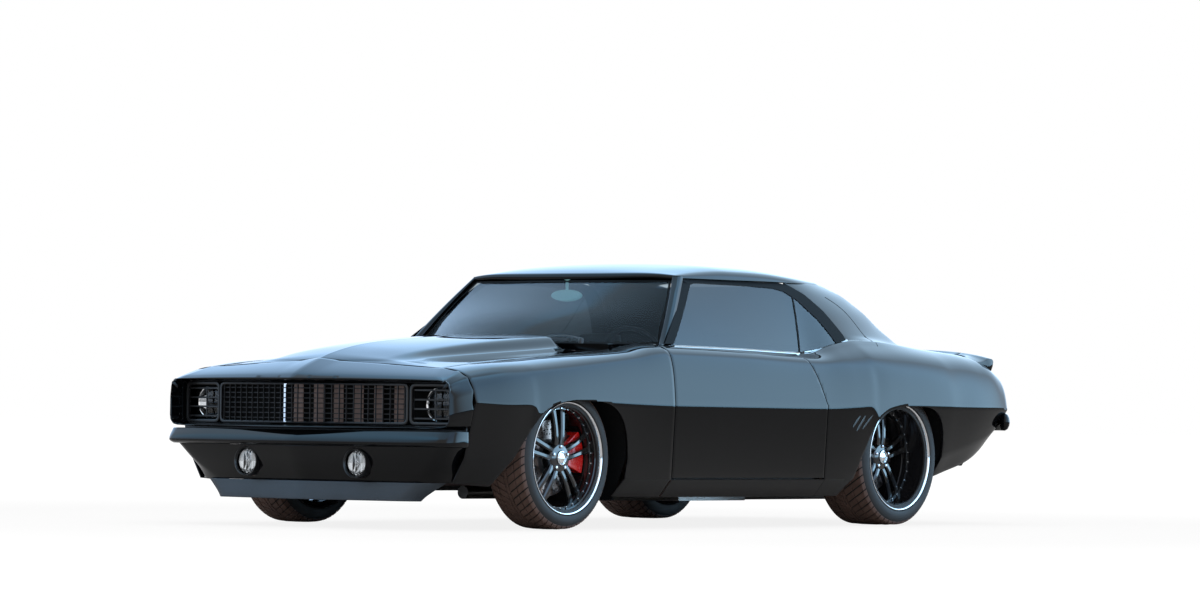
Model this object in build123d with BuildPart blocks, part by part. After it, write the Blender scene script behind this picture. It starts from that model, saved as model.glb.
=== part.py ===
"""A lowered two-door coupe of the late 1960s, as an assembly of separate pieces. Millimetres.

+X is the car's left, -Y its front, +Z up. The origin is on the ground, at mid-length and mid-width.
"""
from build123d import *
from collections import namedtuple
from math import cos, radians, sin
import os

os.makedirs("parts", exist_ok=True)

# ---------------------------------------------------------------- driving dimensions
WHEELBASE = 2743.0
FRONT_AXLE_Y = -1420.0
REAR_AXLE_Y = FRONT_AXLE_Y + WHEELBASE
HALF_LENGTH = 2384.0          # bumper tip to mid-length, at either end
HALF_WIDTH = 945.0            # side crease over the wheels
SEAT = 0.3                    # running or resting gap between a piece and its seat
PANEL_GAP = 7.0               # shut line of a door or lid
LID_GAP = 13.0                # shut line at a lid's hinge
SKIN = 7.0                    # fender wall
DOOR_WALL = 70.0
QUARTER_WALL = 28.0
LID_WALL = 20.0
GLASS = 5.0

A_POST_Y = -665.0             # middle of the shut line between fender and door
B_POST_TOP_Y = 488.0          # rear shut line of the door at the belt
B_POST_LOW_Y = 602.0          # the same below the crease
SILL_TOP = 236.0              # the door's lower shut line
CREASE_Z = 600.0
NOSE_SEAM_Y = -2135.0         # where header and fender meet
TAIL_Y = 2300.0               # rear end of the quarter
EDGE_X = 700.0                # seam of hood and fender
DECK_EDGE_X = 640.0           # seam of deck lid and quarter
COWL_Y = -905.0               # rear edge of the hood
COWL_TOP_Z = 880.0            # ledge that carries the windshield and its pillars
DECK_FRONT_Y = 1806.0         # front edge of the deck lid
DECK_REAR_Y = 2308.0
ROOF_SEAM_Z = 1215.0          # roof and sail panel meet here


def save(piece, name):
    """Labels a finished piece and writes it."""
    piece.label = name
    export_step(piece, f"parts/{name}.step")


def across(y):
    """The cross plane at y: its first axis is X, its second Z."""
    return Plane.XZ.offset(-y)


def save_mirrored(piece, name):
    """Writes the piece of the car's other side."""
    with BuildPart() as twin:
        mirror(piece, about=Plane.YZ)
    save(twin.part, name)


def between(rows, y):
    """The row of a table at y, by straight lines between the rows given."""
    for low, high in zip(rows, rows[1:]):
        if low.y <= y <= high.y:
            share = (y - low.y) / (high.y - low.y)
            return type(low)(*(a + (b - a) * share for a, b in zip(low, high)))
    raise ValueError(f"no row at {y}")


def spans(rows, start, end):
    """The rows from start to end, with both ends worked out."""
    inner = [row for row in rows if start < row.y < end]
    return [between(rows, start), *inner, between(rows, end)]


# ---------------------------------------------------------------- body side sections
# Half sections of the side, from the sill up to the seam of the hood, the belt or the deck.
Side = namedtuple("Side", "y sill_x sill_z lower_x lower_z waist_x waist_z "
                          "shoulder_x shoulder_z belt_x belt_z edge_x edge_z")
SIDES = [
    Side(-2135, 770, 215, 835, 330, 902, 588, 862, 690, 800, 728, EDGE_X, 744),
    Side(-1900, 800, 200, 872, 330, 932, 577, 900, 705, 835, 756, EDGE_X, 769),
    Side(-1640, 815, 190, 888, 330, 943, 585, 912, 728, 842, 776, EDGE_X, 790),
    Side(-1434, 830, 170, 900, 300, HALF_WIDTH, 602, 914, 748, 846, 794, EDGE_X, 808),
    Side(-932, 845, 152, 917, SILL_TOP, 942, CREASE_Z, 910, 795, 848, 838, EDGE_X, 847),
    Side(-658, 850, 150, 920, SILL_TOP, 940, 598, 907, 820, 845, 872, 720, 884),
    Side(0, 850, 150, 920, SILL_TOP, 940, 598, 903, 815, 833, 867, 720, 867),
    Side(600, 850, 150, 920, SILL_TOP, 940, 599, 898, 806, 803, 858, 760, 858),
    Side(860, 850, 152, 916, 240, 943, 601, 905, 806, 790, 907, 745, 907),
    Side(1080, 845, 160, 905, 260, HALF_WIDTH, 602, 907, 812, 772, 930, 640, 926),
    Side(1323, 835, 200, 900, 300, HALF_WIDTH, 603, 903, 815, 760, 926, 600, 925),
    Side(1700, 830, 247, 888, 350, 942, 601, 893, 806, 745, 898, 598, 912),
    Side(1780, 826, 267, 883, 370, 938, 600, 887, 801, 740, 892, 598, 905),
    Side(1790, 826, 269, 883, 372, 938, 600, 887, 801, 740, 891, DECK_EDGE_X, 899),
    Side(2060, 815, 335, 868, 430, 926, 598, 872, 790, 728, 876, DECK_EDGE_X, 888),
    Side(2200, 800, 400, 856, 470, 910, 596, 860, 778, 718, 862, DECK_EDGE_X, 874),
    Side(TAIL_Y, 795, 480, 845, 520, 892, 594, 842, 750, 700, 832, DECK_EDGE_X, 845),
]


def fender_section(row, wall):
    """A wall of one thickness from sill to hood seam."""
    return [
        (row.sill_x, row.sill_z), (row.lower_x, row.lower_z), (row.waist_x, row.waist_z),
        (row.shoulder_x, row.shoulder_z), (row.belt_x, row.belt_z), (row.edge_x, row.edge_z),
        (row.edge_x, row.edge_z - wall), (row.belt_x - 0.5 * wall, row.belt_z - wall),
        (row.shoulder_x - wall, row.shoulder_z - 0.5 * wall), (row.waist_x - wall, row.waist_z),
        (row.lower_x - wall, row.lower_z), (row.sill_x - wall, row.sill_z),
    ]


def door_section(row, wall):
    """A thick wall from above the sill to the belt, with a level ledge for the glass."""
    low = SILL_TOP + PANEL_GAP
    return [
        (row.lower_x, low), (row.waist_x, row.waist_z), (row.shoulder_x, row.shoulder_z),
        (row.belt_x, row.belt_z), (row.belt_x - BELT_LEDGE, row.belt_z),
        (row.shoulder_x - wall, row.shoulder_z - 30), (row.waist_x - wall, row.waist_z),
        (row.lower_x - wall, low),
    ]


BELT_LEDGE = 46.0             # level top of the door


def loft_sections(rows, outline, wall):
    """Adds a ruled body through the outlines of the rows to the part being built."""
    sections = []
    for row in rows:
        with BuildSketch(across(row.y)) as section:
            with BuildLine():
                Polyline(*outline(row, wall), close=True)
            make_face()
        sections.append(section.sketch)
    loft(sections, ruled=True)


def keep_within(outline, low_x, high_x):
    """Keeps what lies inside a side-view outline, from low_x to high_x."""
    with BuildSketch(Plane.YZ.offset(low_x)) as window:
        with BuildLine():
            Polyline(*outline, close=True)
        make_face()
    extrude(window.sketch, amount=high_x - low_x, mode=Mode.INTERSECT)


# ---------------------------------------------------------------- wheel openings
ARCH_TOP = 602.0
# Points of an opening's rim: distance behind the axle and height; arcs join them through the second of each
# three.
FRONT_REACH = 405.0           # opening's rear edge behind the front axle, for the steered tyre
REAR_REACH = 372.0
ARCH_FRONT_LOW = 505.0        # opening's front edge ahead of the axle, at the sill
ARCH_FRONT_HIGH = 290.0       # the same where its top bend begins


def wheel_opening(axle_y, reach, low_x, high_x):
    """Cuts a wheel opening: a slanted front edge, a level top and a round rear edge."""
    bottom = 100.0
    with BuildSketch(Plane.YZ.offset(low_x)) as opening:
        with BuildLine():
            front_low = (axle_y - ARCH_FRONT_LOW - 40, bottom)
            front_high = (axle_y - ARCH_FRONT_HIGH, 520)
            top_front = (axle_y - 40, ARCH_TOP)
            top_rear = (axle_y + 130, ARCH_TOP)
            rear_mid = (axle_y + reach - 12, 440)
            Line(front_low, front_high)
            ThreePointArc(front_high, (axle_y - 180, 578), top_front)
            Line(top_front, top_rear)
            ThreePointArc(top_rear, (axle_y + reach - 90, 552), rear_mid)
            Polyline(rear_mid, (axle_y + reach, 330), (axle_y + reach - 30, bottom), front_low)
        make_face()
    extrude(opening.sketch, amount=high_x - low_x, mode=Mode.SUBTRACT)


# ---------------------------------------------------------------- fenders
with BuildPart() as fender:
    loft_sections(spans(SIDES, NOSE_SEAM_Y, A_POST_Y - PANEL_GAP / 2), fender_section, SKIN)
    wheel_opening(FRONT_AXLE_Y, FRONT_REACH, 600, 1000)
save(fender.part, "fender_left")
save_mirrored(fender.part, "fender_right")

# ---------------------------------------------------------------- doors with their hinge pins
DOOR_PIN_X, DOOR_PIN_Y = 895.0, A_POST_Y + PANEL_GAP / 2 + 100.0
DOOR_HINGE_HEIGHTS = (350.0, 720.0)
PIN_R = 6.0
EYE_R = 12.0
EYE_HALF = 18.0               # half the height of a hinge eye
POCKET_HALF = 25.0            # half the height of the pocket round it
POCKET_SKIN = 14.0            # from pin to the door's outer skin

DOOR_OUTLINE = [
    (A_POST_Y + PANEL_GAP / 2, SILL_TOP), (B_POST_LOW_Y - PANEL_GAP / 2, SILL_TOP),
    (B_POST_LOW_Y - PANEL_GAP / 2, CREASE_Z), (B_POST_TOP_Y - PANEL_GAP / 2, 840),
    (B_POST_TOP_Y + 40, 900), (A_POST_Y + PANEL_GAP / 2, 900),
]

with BuildPart() as door:
    loft_sections(spans(SIDES, A_POST_Y + 1, B_POST_LOW_Y + 20), door_section, DOOR_WALL)
    keep_within(DOOR_OUTLINE, 700, 1000)
    for height in DOOR_HINGE_HEIGHTS:
        with BuildSketch(Plane.XY.offset(height - POCKET_HALF)):
            with BuildLine():
                Polyline((760, DOOR_PIN_Y - 110), (DOOR_PIN_X + POCKET_SKIN, DOOR_PIN_Y - 110),
                         (DOOR_PIN_X + POCKET_SKIN, DOOR_PIN_Y + 22), (760, DOOR_PIN_Y + 22), close=True)
            make_face()
        extrude(amount=2 * POCKET_HALF, mode=Mode.SUBTRACT)
        with BuildSketch(Plane.XY.offset(height - POCKET_HALF)):
            with Locations((DOOR_PIN_X, DOOR_PIN_Y)):
                Circle(PIN_R)
        extrude(amount=2 * POCKET_HALF)
save(door.part, "door_left")
save_mirrored(door.part, "door_right")

# ---------------------------------------------------------------- side glass
GLASS_TOP_X, GLASS_TOP_Z = 622.0, 1206.0
GLASS_INSET = 16.0            # from the belt's outer edge to the glass
GLASS_BOW = 9.0               # how far the glass bulges at half height


def glass_section(row, wall):
    """A bowed pane that stands on the belt and leans in to the roof rail."""
    low_x, low_z = row.belt_x - GLASS_INSET, row.belt_z + SEAT
    lean = (GLASS_TOP_X - low_x) / (GLASS_TOP_Z - low_z)
    mid_z = (low_z + GLASS_TOP_Z) / 2
    mid_x = low_x + lean * (mid_z - low_z) + GLASS_BOW
    return [(low_x, low_z), (mid_x, mid_z), (GLASS_TOP_X, GLASS_TOP_Z), (GLASS_TOP_X - wall, GLASS_TOP_Z),
            (mid_x - wall, mid_z), (low_x - wall, low_z)]


DOOR_GLASS_OUTLINE = [(-560, 860), (-545, 884), (-138, 1204), (616, 1200), (676, 1150), (558, 858), (558, 820),
                      (-560, 820)]
QUARTER_GLASS_OUTLINE = [(566, 820), (566, 858), (683, 1146), (745, 1100), (900, 960), (925, 916), (925, 820)]

with BuildPart() as door_glass:
    loft_sections(spans(SIDES, -600, 760), glass_section, GLASS)
    keep_within(DOOR_GLASS_OUTLINE, 500, 900)
save(door_glass.part, "door_glass_left")
save_mirrored(door_glass.part, "door_glass_right")

with BuildPart() as quarter_glass:
    loft_sections(spans(SIDES, 500, 1000), glass_section, GLASS)
    keep_within(QUARTER_GLASS_OUTLINE, 500, 900)
    mirror(about=Plane.YZ)
save(quarter_glass.part, "quarter_glass")

# ---------------------------------------------------------------- quarters with their sail panels
QUARTER_OUTLINE = [
    (B_POST_LOW_Y + PANEL_GAP / 2, 100), (TAIL_Y + 1, 100), (TAIL_Y + 1, 960), (1150, 960),
    (1011, 930), (863, 911), (560, 858 - SEAT), (B_POST_TOP_Y + PANEL_GAP / 2 + 8, 858 - SEAT),
    (B_POST_TOP_Y + PANEL_GAP / 2, 840), (B_POST_LOW_Y + PANEL_GAP / 2, CREASE_Z),
]
# Level sections of the sail panel: height, then its front and rear edges on the outside.
Sail = namedtuple("Sail", "z front_x front_y rear_x rear_y")
SAILS = [
    Sail(880, 780, 1060, 600, 1796),
    Sail(962, 745, 985, 590, 1622),
    Sail(1080, 692, 885, 560, 1440),
    Sail(1160, 645, 785, 528, 1300),
    Sail(ROOF_SEAM_Z, 622, 650, 505, 1130),
]
SAIL_WALL = 34.0

with BuildPart() as quarter:
    loft_sections(spans(SIDES, B_POST_TOP_Y, TAIL_Y), fender_section, QUARTER_WALL)
    keep_within(QUARTER_OUTLINE, 500, 1000)
    wheel_opening(REAR_AXLE_Y, REAR_REACH, 700, 1000)
    levels = []
    for row in SAILS:
        with BuildSketch(Plane.XY.offset(row.z)) as level:
            with BuildLine():
                Polyline((row.front_x, row.front_y), (row.rear_x, row.rear_y),
                         (row.rear_x - SAIL_WALL, row.rear_y - 12), (row.front_x - SAIL_WALL, row.front_y),
                         close=True)
            make_face()
        levels.append(level.sketch)
    loft(levels, ruled=True)
save(quarter.part, "quarter_left")
save_mirrored(quarter.part, "quarter_right")

# ---------------------------------------------------------------- roof with its front pillars
Roof = namedtuple("Roof", "y centre_z mid_x mid_z shoulder_x shoulder_z rail_x rail_z")
ROOF_WALL = 24.0
ROOF_FRONT_CENTRE_Y = -352.0
ROOF_FRONT_CORNER_Y = -262.0
ROOF_REAR_Y = 1112.0
ROOFS = [
    Roof(-352, 1232, 380, 1226, 590, 1217, 625, 1210),
    Roof(-262, 1255, 400, 1246, 592, 1228, 630, 1211),
    Roof(-60, 1284, 420, 1272, 596, 1246, 634, 1212),
    Roof(200, 1298, 430, 1285, 598, 1257, 636, 1213),
    Roof(480, 1295, 430, 1282, 596, 1255, 634, ROOF_SEAM_Z),
    Roof(760, 1279, 420, 1267, 575, 1243, 615, ROOF_SEAM_Z),
    Roof(ROOF_REAR_Y, 1240, 390, 1234, 480, 1228, 510, ROOF_SEAM_Z),
]


def roof_section(row, wall):
    """A crowned shell across the whole car."""
    outer = [(row.rail_x, row.rail_z), (row.shoulder_x, row.shoulder_z), (row.mid_x, row.mid_z)]
    inner = [(row.mid_x - 10, row.mid_z - wall), (row.shoulder_x - wall, row.shoulder_z - wall),
             (row.rail_x - 30, row.rail_z)]
    left = [(-x, z) for x, z in outer]
    left_inner = [(-x, z) for x, z in inner]
    return [*outer, (0, row.centre_z), *left[::-1], *left_inner[::-1], (0, row.centre_z - wall), *inner]


PILLAR_TOP_Z = 1214.0
with BuildPart() as roof:
    loft_sections(spans(ROOFS, -352, ROOF_REAR_Y), roof_section, ROOF_WALL)
    with BuildSketch(Plane.XY.offset(1100)) as front_edge:
        with BuildLine():
            rim = ThreePointArc((-660, ROOF_FRONT_CORNER_Y + 8), (0, ROOF_FRONT_CENTRE_Y),
                                (660, ROOF_FRONT_CORNER_Y + 8))
            Polyline(rim @ 1, (660, -500), (-660, -500), rim @ 0)
        make_face()
    extrude(front_edge.sketch, amount=300, mode=Mode.SUBTRACT)
    for side in (-1, 1):
        ends = []
        for height, corners in (
            (COWL_TOP_Z + SEAT, [(753, -562), (785, -590), (797, -548), (768, -505)]),
            (PILLAR_TOP_Z, [(630, -250), (634, -226), (628, -138), (612, -200)]),
        ):
            with BuildSketch(Plane.XY.offset(height)) as end:
                with BuildLine():
                    Polyline(*[(side * x, y) for x, y in corners], close=True)
                make_face()
            ends.append(end.sketch)
        loft(ends, ruled=True)
save(roof.part, "roof")

# ---------------------------------------------------------------- windshield and rear window
SHIELD_LOW_Z, SHIELD_TOP_Z = COWL_TOP_Z + SEAT, 1198.0
SHELF_TOP_Z = 907.7           # parcel shelf under the rear window


def bowed_pane(levels, wall):
    """Lofts a glass pane through bowed bands: height, corner x and y, and the middle's y."""
    bands = []
    for z, corner_x, corner_y, middle_y in levels:
        with BuildSketch(Plane.XY.offset(z)) as band:
            with BuildLine():
                outer = ThreePointArc((-corner_x, corner_y), (0, middle_y), (corner_x, corner_y))
                inner = ThreePointArc((-corner_x, corner_y + wall), (0, middle_y + wall),
                                      (corner_x, corner_y + wall))
                Line(outer @ 0, inner @ 0)
                Line(outer @ 1, inner @ 1)
            make_face()
        bands.append(band.sketch)
    loft(bands, ruled=True)


with BuildPart() as windshield:
    bowed_pane([(SHIELD_LOW_Z, 745, -534, -835), (SHIELD_TOP_Z, 606, -270, -358)], GLASS * 2)
save(windshield.part, "windshield")

with BuildPart() as rear_window:
    bowed_pane([(SHELF_TOP_Z + SEAT, 556, 1640, 1732), (1000, 530, 1490, 1590), (1100, 500, 1330, 1420),
                (1208, 462, 1130, 1166)], -GLASS * 2)
save(rear_window.part, "rear_window")

# ---------------------------------------------------------------- hood
HINGE_INSET = 22.0            # from a lid's hinge edge to its pin
HOOD_PIN_Y, HOOD_PIN_Z = COWL_Y - HINGE_INSET, 839.0
HOOD_HALF = EDGE_X - PANEL_GAP
HOOD_FRONT_Y = NOSE_SEAM_Y - 4
Hood = namedtuple("Hood", "y centre_z scoop_x scoop_z foot_x foot_z edge_z")
HOODS = [
    Hood(-2180, 779, 60, 773, 120, 768, 742),
    Hood(-2100, 800, 300, 786, 420, 772, 746),
    Hood(-1900, 838, 340, 822, 420, 790, 768),
    Hood(-1500, 884, 350, 868, 425, 818, 802),
    Hood(-1150, 908, 350, 896, 430, 840, 828),
    Hood(COWL_Y, 921, 350, 912, 430, 858, 847),
]


def hood_section(row, wall):
    """A crowned lid with a raised scoop along its middle."""
    outer = [(HOOD_HALF, row.edge_z), (row.foot_x, row.foot_z), (row.scoop_x, row.scoop_z)]
    inner = [(row.scoop_x - 8, row.scoop_z - wall), (row.foot_x - 8, row.foot_z - wall),
             (HOOD_HALF, row.edge_z - wall)]
    right = [(-x, z) for x, z in outer]
    right_inner = [(-x, z) for x, z in inner]
    return [*outer, (0, row.centre_z), *right[::-1], *right_inner[::-1], (0, row.centre_z - wall), *inner]


HINGE_X = 520.0
HINGE_HALF = 12.0             # half the width of a hinge eye
NOTCH_HALF = 20.0             # half the width of the notch round it
NOTCH_TOP = 8.0               # from pin to the notch's roof
NOTCH_DEPTH = 54.0
LID_PIN_R = 3.0
LID_EYE_R = 7.0


def hinge_notch(pin_y, pin_z, edge_y):
    """Cuts a lid's two hinge notches, open to the edge beside them, and sets a pin in each."""
    for side in (-1, 1):
        with Locations((side * HINGE_X, (pin_y + edge_y) / 2, pin_z + NOTCH_TOP - NOTCH_DEPTH / 2)):
            Box(2 * NOTCH_HALF, abs(edge_y - pin_y) + 26, NOTCH_DEPTH, mode=Mode.SUBTRACT)
        with Locations(Location((side * HINGE_X, pin_y, pin_z), (0, 90, 0))):
            Cylinder(LID_PIN_R, 2 * NOTCH_HALF + 2)


with BuildPart() as hood:
    loft_sections(spans(HOODS, -2180, COWL_Y), hood_section, LID_WALL)
    with BuildSketch(Plane.XY.offset(600)) as hood_plan:
        with BuildLine():
            Polyline((0, -2172), (HOOD_HALF, HOOD_FRONT_Y), (HOOD_HALF, COWL_Y), (-HOOD_HALF, COWL_Y),
                     (-HOOD_HALF, HOOD_FRONT_Y), close=True)
        make_face()
    extrude(hood_plan.sketch, amount=400, mode=Mode.INTERSECT)
    hinge_notch(HOOD_PIN_Y, HOOD_PIN_Z, COWL_Y)
save(hood.part, "hood")

# ---------------------------------------------------------------- cowl and wipers
COWL_FRONT_Y = COWL_Y + 20    # clear of the hood's swing
COWL_STEP_Y = -837.0          # step behind the low trough, clear of the hood's swing
COWL_REAR_Y = -500.0
COWL_HALF = 712.0
COWL_SHEET = 3.0
with BuildPart() as cowl:
    with BuildSketch(Plane.YZ.offset(-COWL_HALF)) as cowl_profile:
        with BuildLine():
            Polyline((COWL_FRONT_Y, 839), (COWL_STEP_Y, 843), (COWL_STEP_Y, COWL_TOP_Z), (COWL_REAR_Y, COWL_TOP_Z),
                     (COWL_REAR_Y, COWL_TOP_Z - COWL_SHEET), (COWL_STEP_Y + 4, COWL_TOP_Z - COWL_SHEET),
                     (COWL_STEP_Y + 4, 834), (COWL_FRONT_Y, 830), close=True)
        make_face()
    extrude(cowl_profile.sketch, amount=2 * COWL_HALF)
    for side in (-1, 1):
        with Locations((side * 690, (COWL_FRONT_Y - 650) / 2, 864)):
            Box(60, -COWL_FRONT_Y - 640, 80, mode=Mode.SUBTRACT)
        with Locations((side * 755, -548, COWL_TOP_Z - COWL_SHEET / 2)):
            Box(90, 96, COWL_SHEET)
save(cowl.part, "cowl")

with BuildPart() as wipers:
    for pivot_x, tip_x, pivot_y, tip_y in ((450, 30, -776, -822), (-450, -40, -776, -822)):
        with Locations((pivot_x, pivot_y, (COWL_TOP_Z + SEAT + 912) / 2)):
            Cylinder(12, 912 - COWL_TOP_Z - SEAT)
        with BuildSketch(Plane.XY.offset(903)) as arm:
            with BuildLine():
                Polyline((pivot_x, pivot_y - 7), (tip_x, tip_y - 5), (tip_x, tip_y + 5), (pivot_x, pivot_y + 7),
                         close=True)
            make_face()
        extrude(arm.sketch, amount=7)
save(wipers.part, "wipers")

# ---------------------------------------------------------------- deck lid, filler panel and spoiler
DECK_PIN_Y, DECK_PIN_Z = DECK_FRONT_Y + HINGE_INSET, 888.0
DECK_HALF = DECK_EDGE_X - PANEL_GAP
Deck = namedtuple("Deck", "y centre_z mid_x mid_z edge_z")
DECKS = [
    Deck(1640, 917, 330, 915, 912),
    Deck(DECK_FRONT_Y, 909, 330, 906, 902),
    Deck(2060, 897, 330, 894, 888),
    Deck(2200, 888, 330, 884, 875),
    Deck(2330, 864, 330, 860, 848),
]


def deck_section(row, wall):
    """A lightly crowned lid."""
    outer = [(DECK_HALF, row.edge_z), (row.mid_x, row.mid_z), (0, row.centre_z), (-row.mid_x, row.mid_z),
             (-DECK_HALF, row.edge_z)]
    return [*outer, *[(x, z - wall) for x, z in outer[::-1]]]


with BuildPart() as deck_lid:
    loft_sections(spans(DECKS, DECK_FRONT_Y, DECK_REAR_Y), deck_section, LID_WALL)
    hinge_notch(DECK_PIN_Y, DECK_PIN_Z, DECK_FRONT_Y)
save(deck_lid.part, "deck_lid")

with BuildPart() as deck_filler:
    loft_sections(spans(DECKS, 1738, DECK_FRONT_Y - LID_GAP), deck_section, LID_WALL)
    with BuildSketch(Plane.XY.offset(800)) as filler_plan:
        Rectangle(2 * 558, 4000)
    extrude(filler_plan.sketch, amount=200, mode=Mode.INTERSECT)
save(deck_filler.part, "deck_filler")

SPOILER_HALF = 612.0
with BuildPart() as rear_spoiler:
    with BuildSketch(Plane.YZ.offset(-SPOILER_HALF)) as spoiler_profile:
        with BuildLine():
            Polyline((2150, 898), (2250, 914), (2330, 906), (2326, 884), (2308, 880), (2300, 880), (2200, 888.4),
                     (2150, 891.9), close=True)
        make_face()
    extrude(spoiler_profile.sketch, amount=2 * SPOILER_HALF)
save(rear_spoiler.part, "rear_spoiler")

# ---------------------------------------------------------------- tail: panel, lamps, valance, bumper
LAMP_X, LAMP_Z, LAMP_W, LAMP_H = 560.0, 700.0, 460.0, 92.0
TAIL_WALL = 14.0
PLATE_SPACING, PLATE_Z, PLATE_HOLE_R = 178.0, 640.0, 3.5
BUMPER_REAR_Z = 532.0


def plan_band(points, wall):
    """A closed plan outline: points of the right-hand half from the middle out, a wall inside them."""
    left = [(-x, y) for x, y in points[::-1] if x > 0]
    outer = [*left, *points]
    inward = wall if points[0][1] < 0 else -wall
    inner = [(x - (wall if x > 0 else -wall if x < 0 else 0) * (abs(x) > 500), y + inward) for x, y in outer]
    return [*outer, *inner[::-1]]


def loft_plans(levels, wall):
    """Adds a ruled wall through plan outlines: a height and the half outline's points at each."""
    sections = []
    for z, points in levels:
        with BuildSketch(Plane.XY.offset(z)) as section:
            with BuildLine():
                Polyline(*plan_band(points, wall), close=True)
            make_face()
        sections.append(section.sketch)
    loft(sections, ruled=True)


with BuildPart() as tail_panel:
    with BuildSketch(across(TAIL_Y + SEAT + TAIL_WALL)) as panel_face:
        with BuildLine():
            Polyline((-808, 560), (808, 560), (828, 700), (760, 800), (660, 822), (0, 838), (-660, 822),
                     (-760, 800), (-828, 700), close=True)
        make_face()
        with Locations((-LAMP_X, LAMP_Z), (LAMP_X, LAMP_Z)):
            RectangleRounded(LAMP_W, LAMP_H, 18, mode=Mode.SUBTRACT)
        with Locations((-PLATE_SPACING / 2, PLATE_Z), (PLATE_SPACING / 2, PLATE_Z)):
            Circle(PLATE_HOLE_R, mode=Mode.SUBTRACT)
    extrude(panel_face.sketch, amount=TAIL_WALL)
save(tail_panel.part, "tail_panel")

with BuildPart() as tail_lamps:
    with BuildSketch(across(TAIL_Y + TAIL_WALL + 8)) as lamp_face:
        with Locations((-LAMP_X, LAMP_Z), (LAMP_X, LAMP_Z)):
            RectangleRounded(LAMP_W - 2 * SEAT, LAMP_H - 2 * SEAT, 18 - SEAT)
    extrude(lamp_face.sketch, amount=34)
save(tail_lamps.part, "tail_lamps")

with BuildPart() as rear_bumper:
    loft_plans([
        (486, [(0, 2368), (800, 2360), (872, 2322), (894, 2286)]),
        (BUMPER_REAR_Z, [(0, HALF_LENGTH), (820, 2378), (898, 2334), (916, 2286)]),
        (578, [(0, 2362), (800, 2352), (894, 2314), (912, 2290)]),
    ], 10)
    with Locations((-500, 2338, 530), (500, 2338, 530)):
        Box(40, 67, 50)
save(rear_bumper.part, "rear_bumper")

with BuildPart() as rear_valance:
    loft_plans([
        (300, [(0, 2200), (680, 2172), (716, 2140), (718, 2120)]),
        (400, [(0, 2262), (720, 2232), (752, 2200), (754, 2180)]),
        (480, [(0, 2310), (740, 2300), (758, 2280), (760, 2240)]),
        (559.7, [(0, 2310), (740, 2300), (758, 2280), (760, 2240)]),
    ], 10)
save(rear_valance.part, "rear_valance")

# ---------------------------------------------------------------- nose: header, grille, lamps, bumper, valance
NOSE_TIP_Y = -2349.0
GRILLE_HALF, GRILLE_LOW, GRILLE_HIGH = 806.0, 470.0, 680.0
GRILLE_Y = -2235.0            # grille face at the lamps' outer ends
GRILLE_TIP_Y = -2292.0        # and on the centre line

with BuildPart() as header_panel:
    with BuildSketch(Plane.XY.offset(400)) as header_plan:
        with BuildLine():
            left_edge = Polyline((-900, NOSE_SEAM_Y), (-890, -2190))
            left_corner = ThreePointArc((-890, -2190), (-868, -2240), (-800, -2268))
            front = Polyline((-800, -2268), (0, NOSE_TIP_Y), (800, -2268))
            right_corner = ThreePointArc((800, -2268), (868, -2240), (890, -2190))
            Polyline((890, -2190), (900, NOSE_SEAM_Y), (HOOD_HALF, NOSE_SEAM_Y), (HOOD_HALF + 5, HOOD_FRONT_Y - 8),
                     (0, -2172 - PANEL_GAP), (-HOOD_HALF - 5, HOOD_FRONT_Y - 8), (-HOOD_HALF, NOSE_SEAM_Y),
                     (-900, NOSE_SEAM_Y))
        make_face()
    extrude(header_plan.sketch, amount=450)
    with BuildSketch(across(-2000)) as header_front:
        with BuildLine():
            Polyline((-838, 455), (838, 455), (884, 588), (862, 670), (800, 722), (EDGE_X, 743), (120, 772), (0, 779),
                     (-120, 772), (-EDGE_X, 743), (-800, 722), (-862, 670), (-884, 588), close=True)
        make_face()
    extrude(header_front.sketch, amount=500, mode=Mode.INTERSECT)
    with BuildSketch(Plane.YZ.offset(-1000)) as header_side:
        with BuildLine():
            Polyline((-2100, 445), (-2330, 445), (-2340, 560), (NOSE_TIP_Y, 680), (NOSE_TIP_Y + 6, 700), (-2290, 738),
                     (-2172, 782), (-2100, 800), close=True)
        make_face()
    extrude(header_side.sketch, amount=2000, mode=Mode.INTERSECT)
    with BuildSketch(across(-2100)) as header_mouth:
        with Locations((0, (GRILLE_LOW + GRILLE_HIGH) / 2)):
            RectangleRounded(2 * GRILLE_HALF, GRILLE_HIGH - GRILLE_LOW, 40)
    extrude(header_mouth.sketch, amount=300, mode=Mode.SUBTRACT)
save(header_panel.part, "header_panel")

LAMP_DOOR_X, LAMP_DOOR_W, LAMP_DOOR_H = 681.0, 226.0, 176.0
LAMP_DOOR_REAR = 23.0         # lamp door's rear face behind the grille's outer end
MOUTH_Z = (GRILLE_LOW + GRILLE_HIGH) / 2
MESH_HALF, MESH_HEIGHT = 546.0, 186.0
BAR = 4.0
MESH_ROWS, MESH_COLUMNS = 7, 6


def vee(back, depth, half):
    """Plan outline of a bar that follows the nose's vee, set back from the grille's face."""
    slope = (GRILLE_Y - GRILLE_TIP_Y) / GRILLE_HALF
    tip = GRILLE_TIP_Y + back
    end = tip + slope * half
    return [(0, tip), (half, end), (half, end + depth), (0, tip + depth), (-half, end + depth), (-half, end)]


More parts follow.
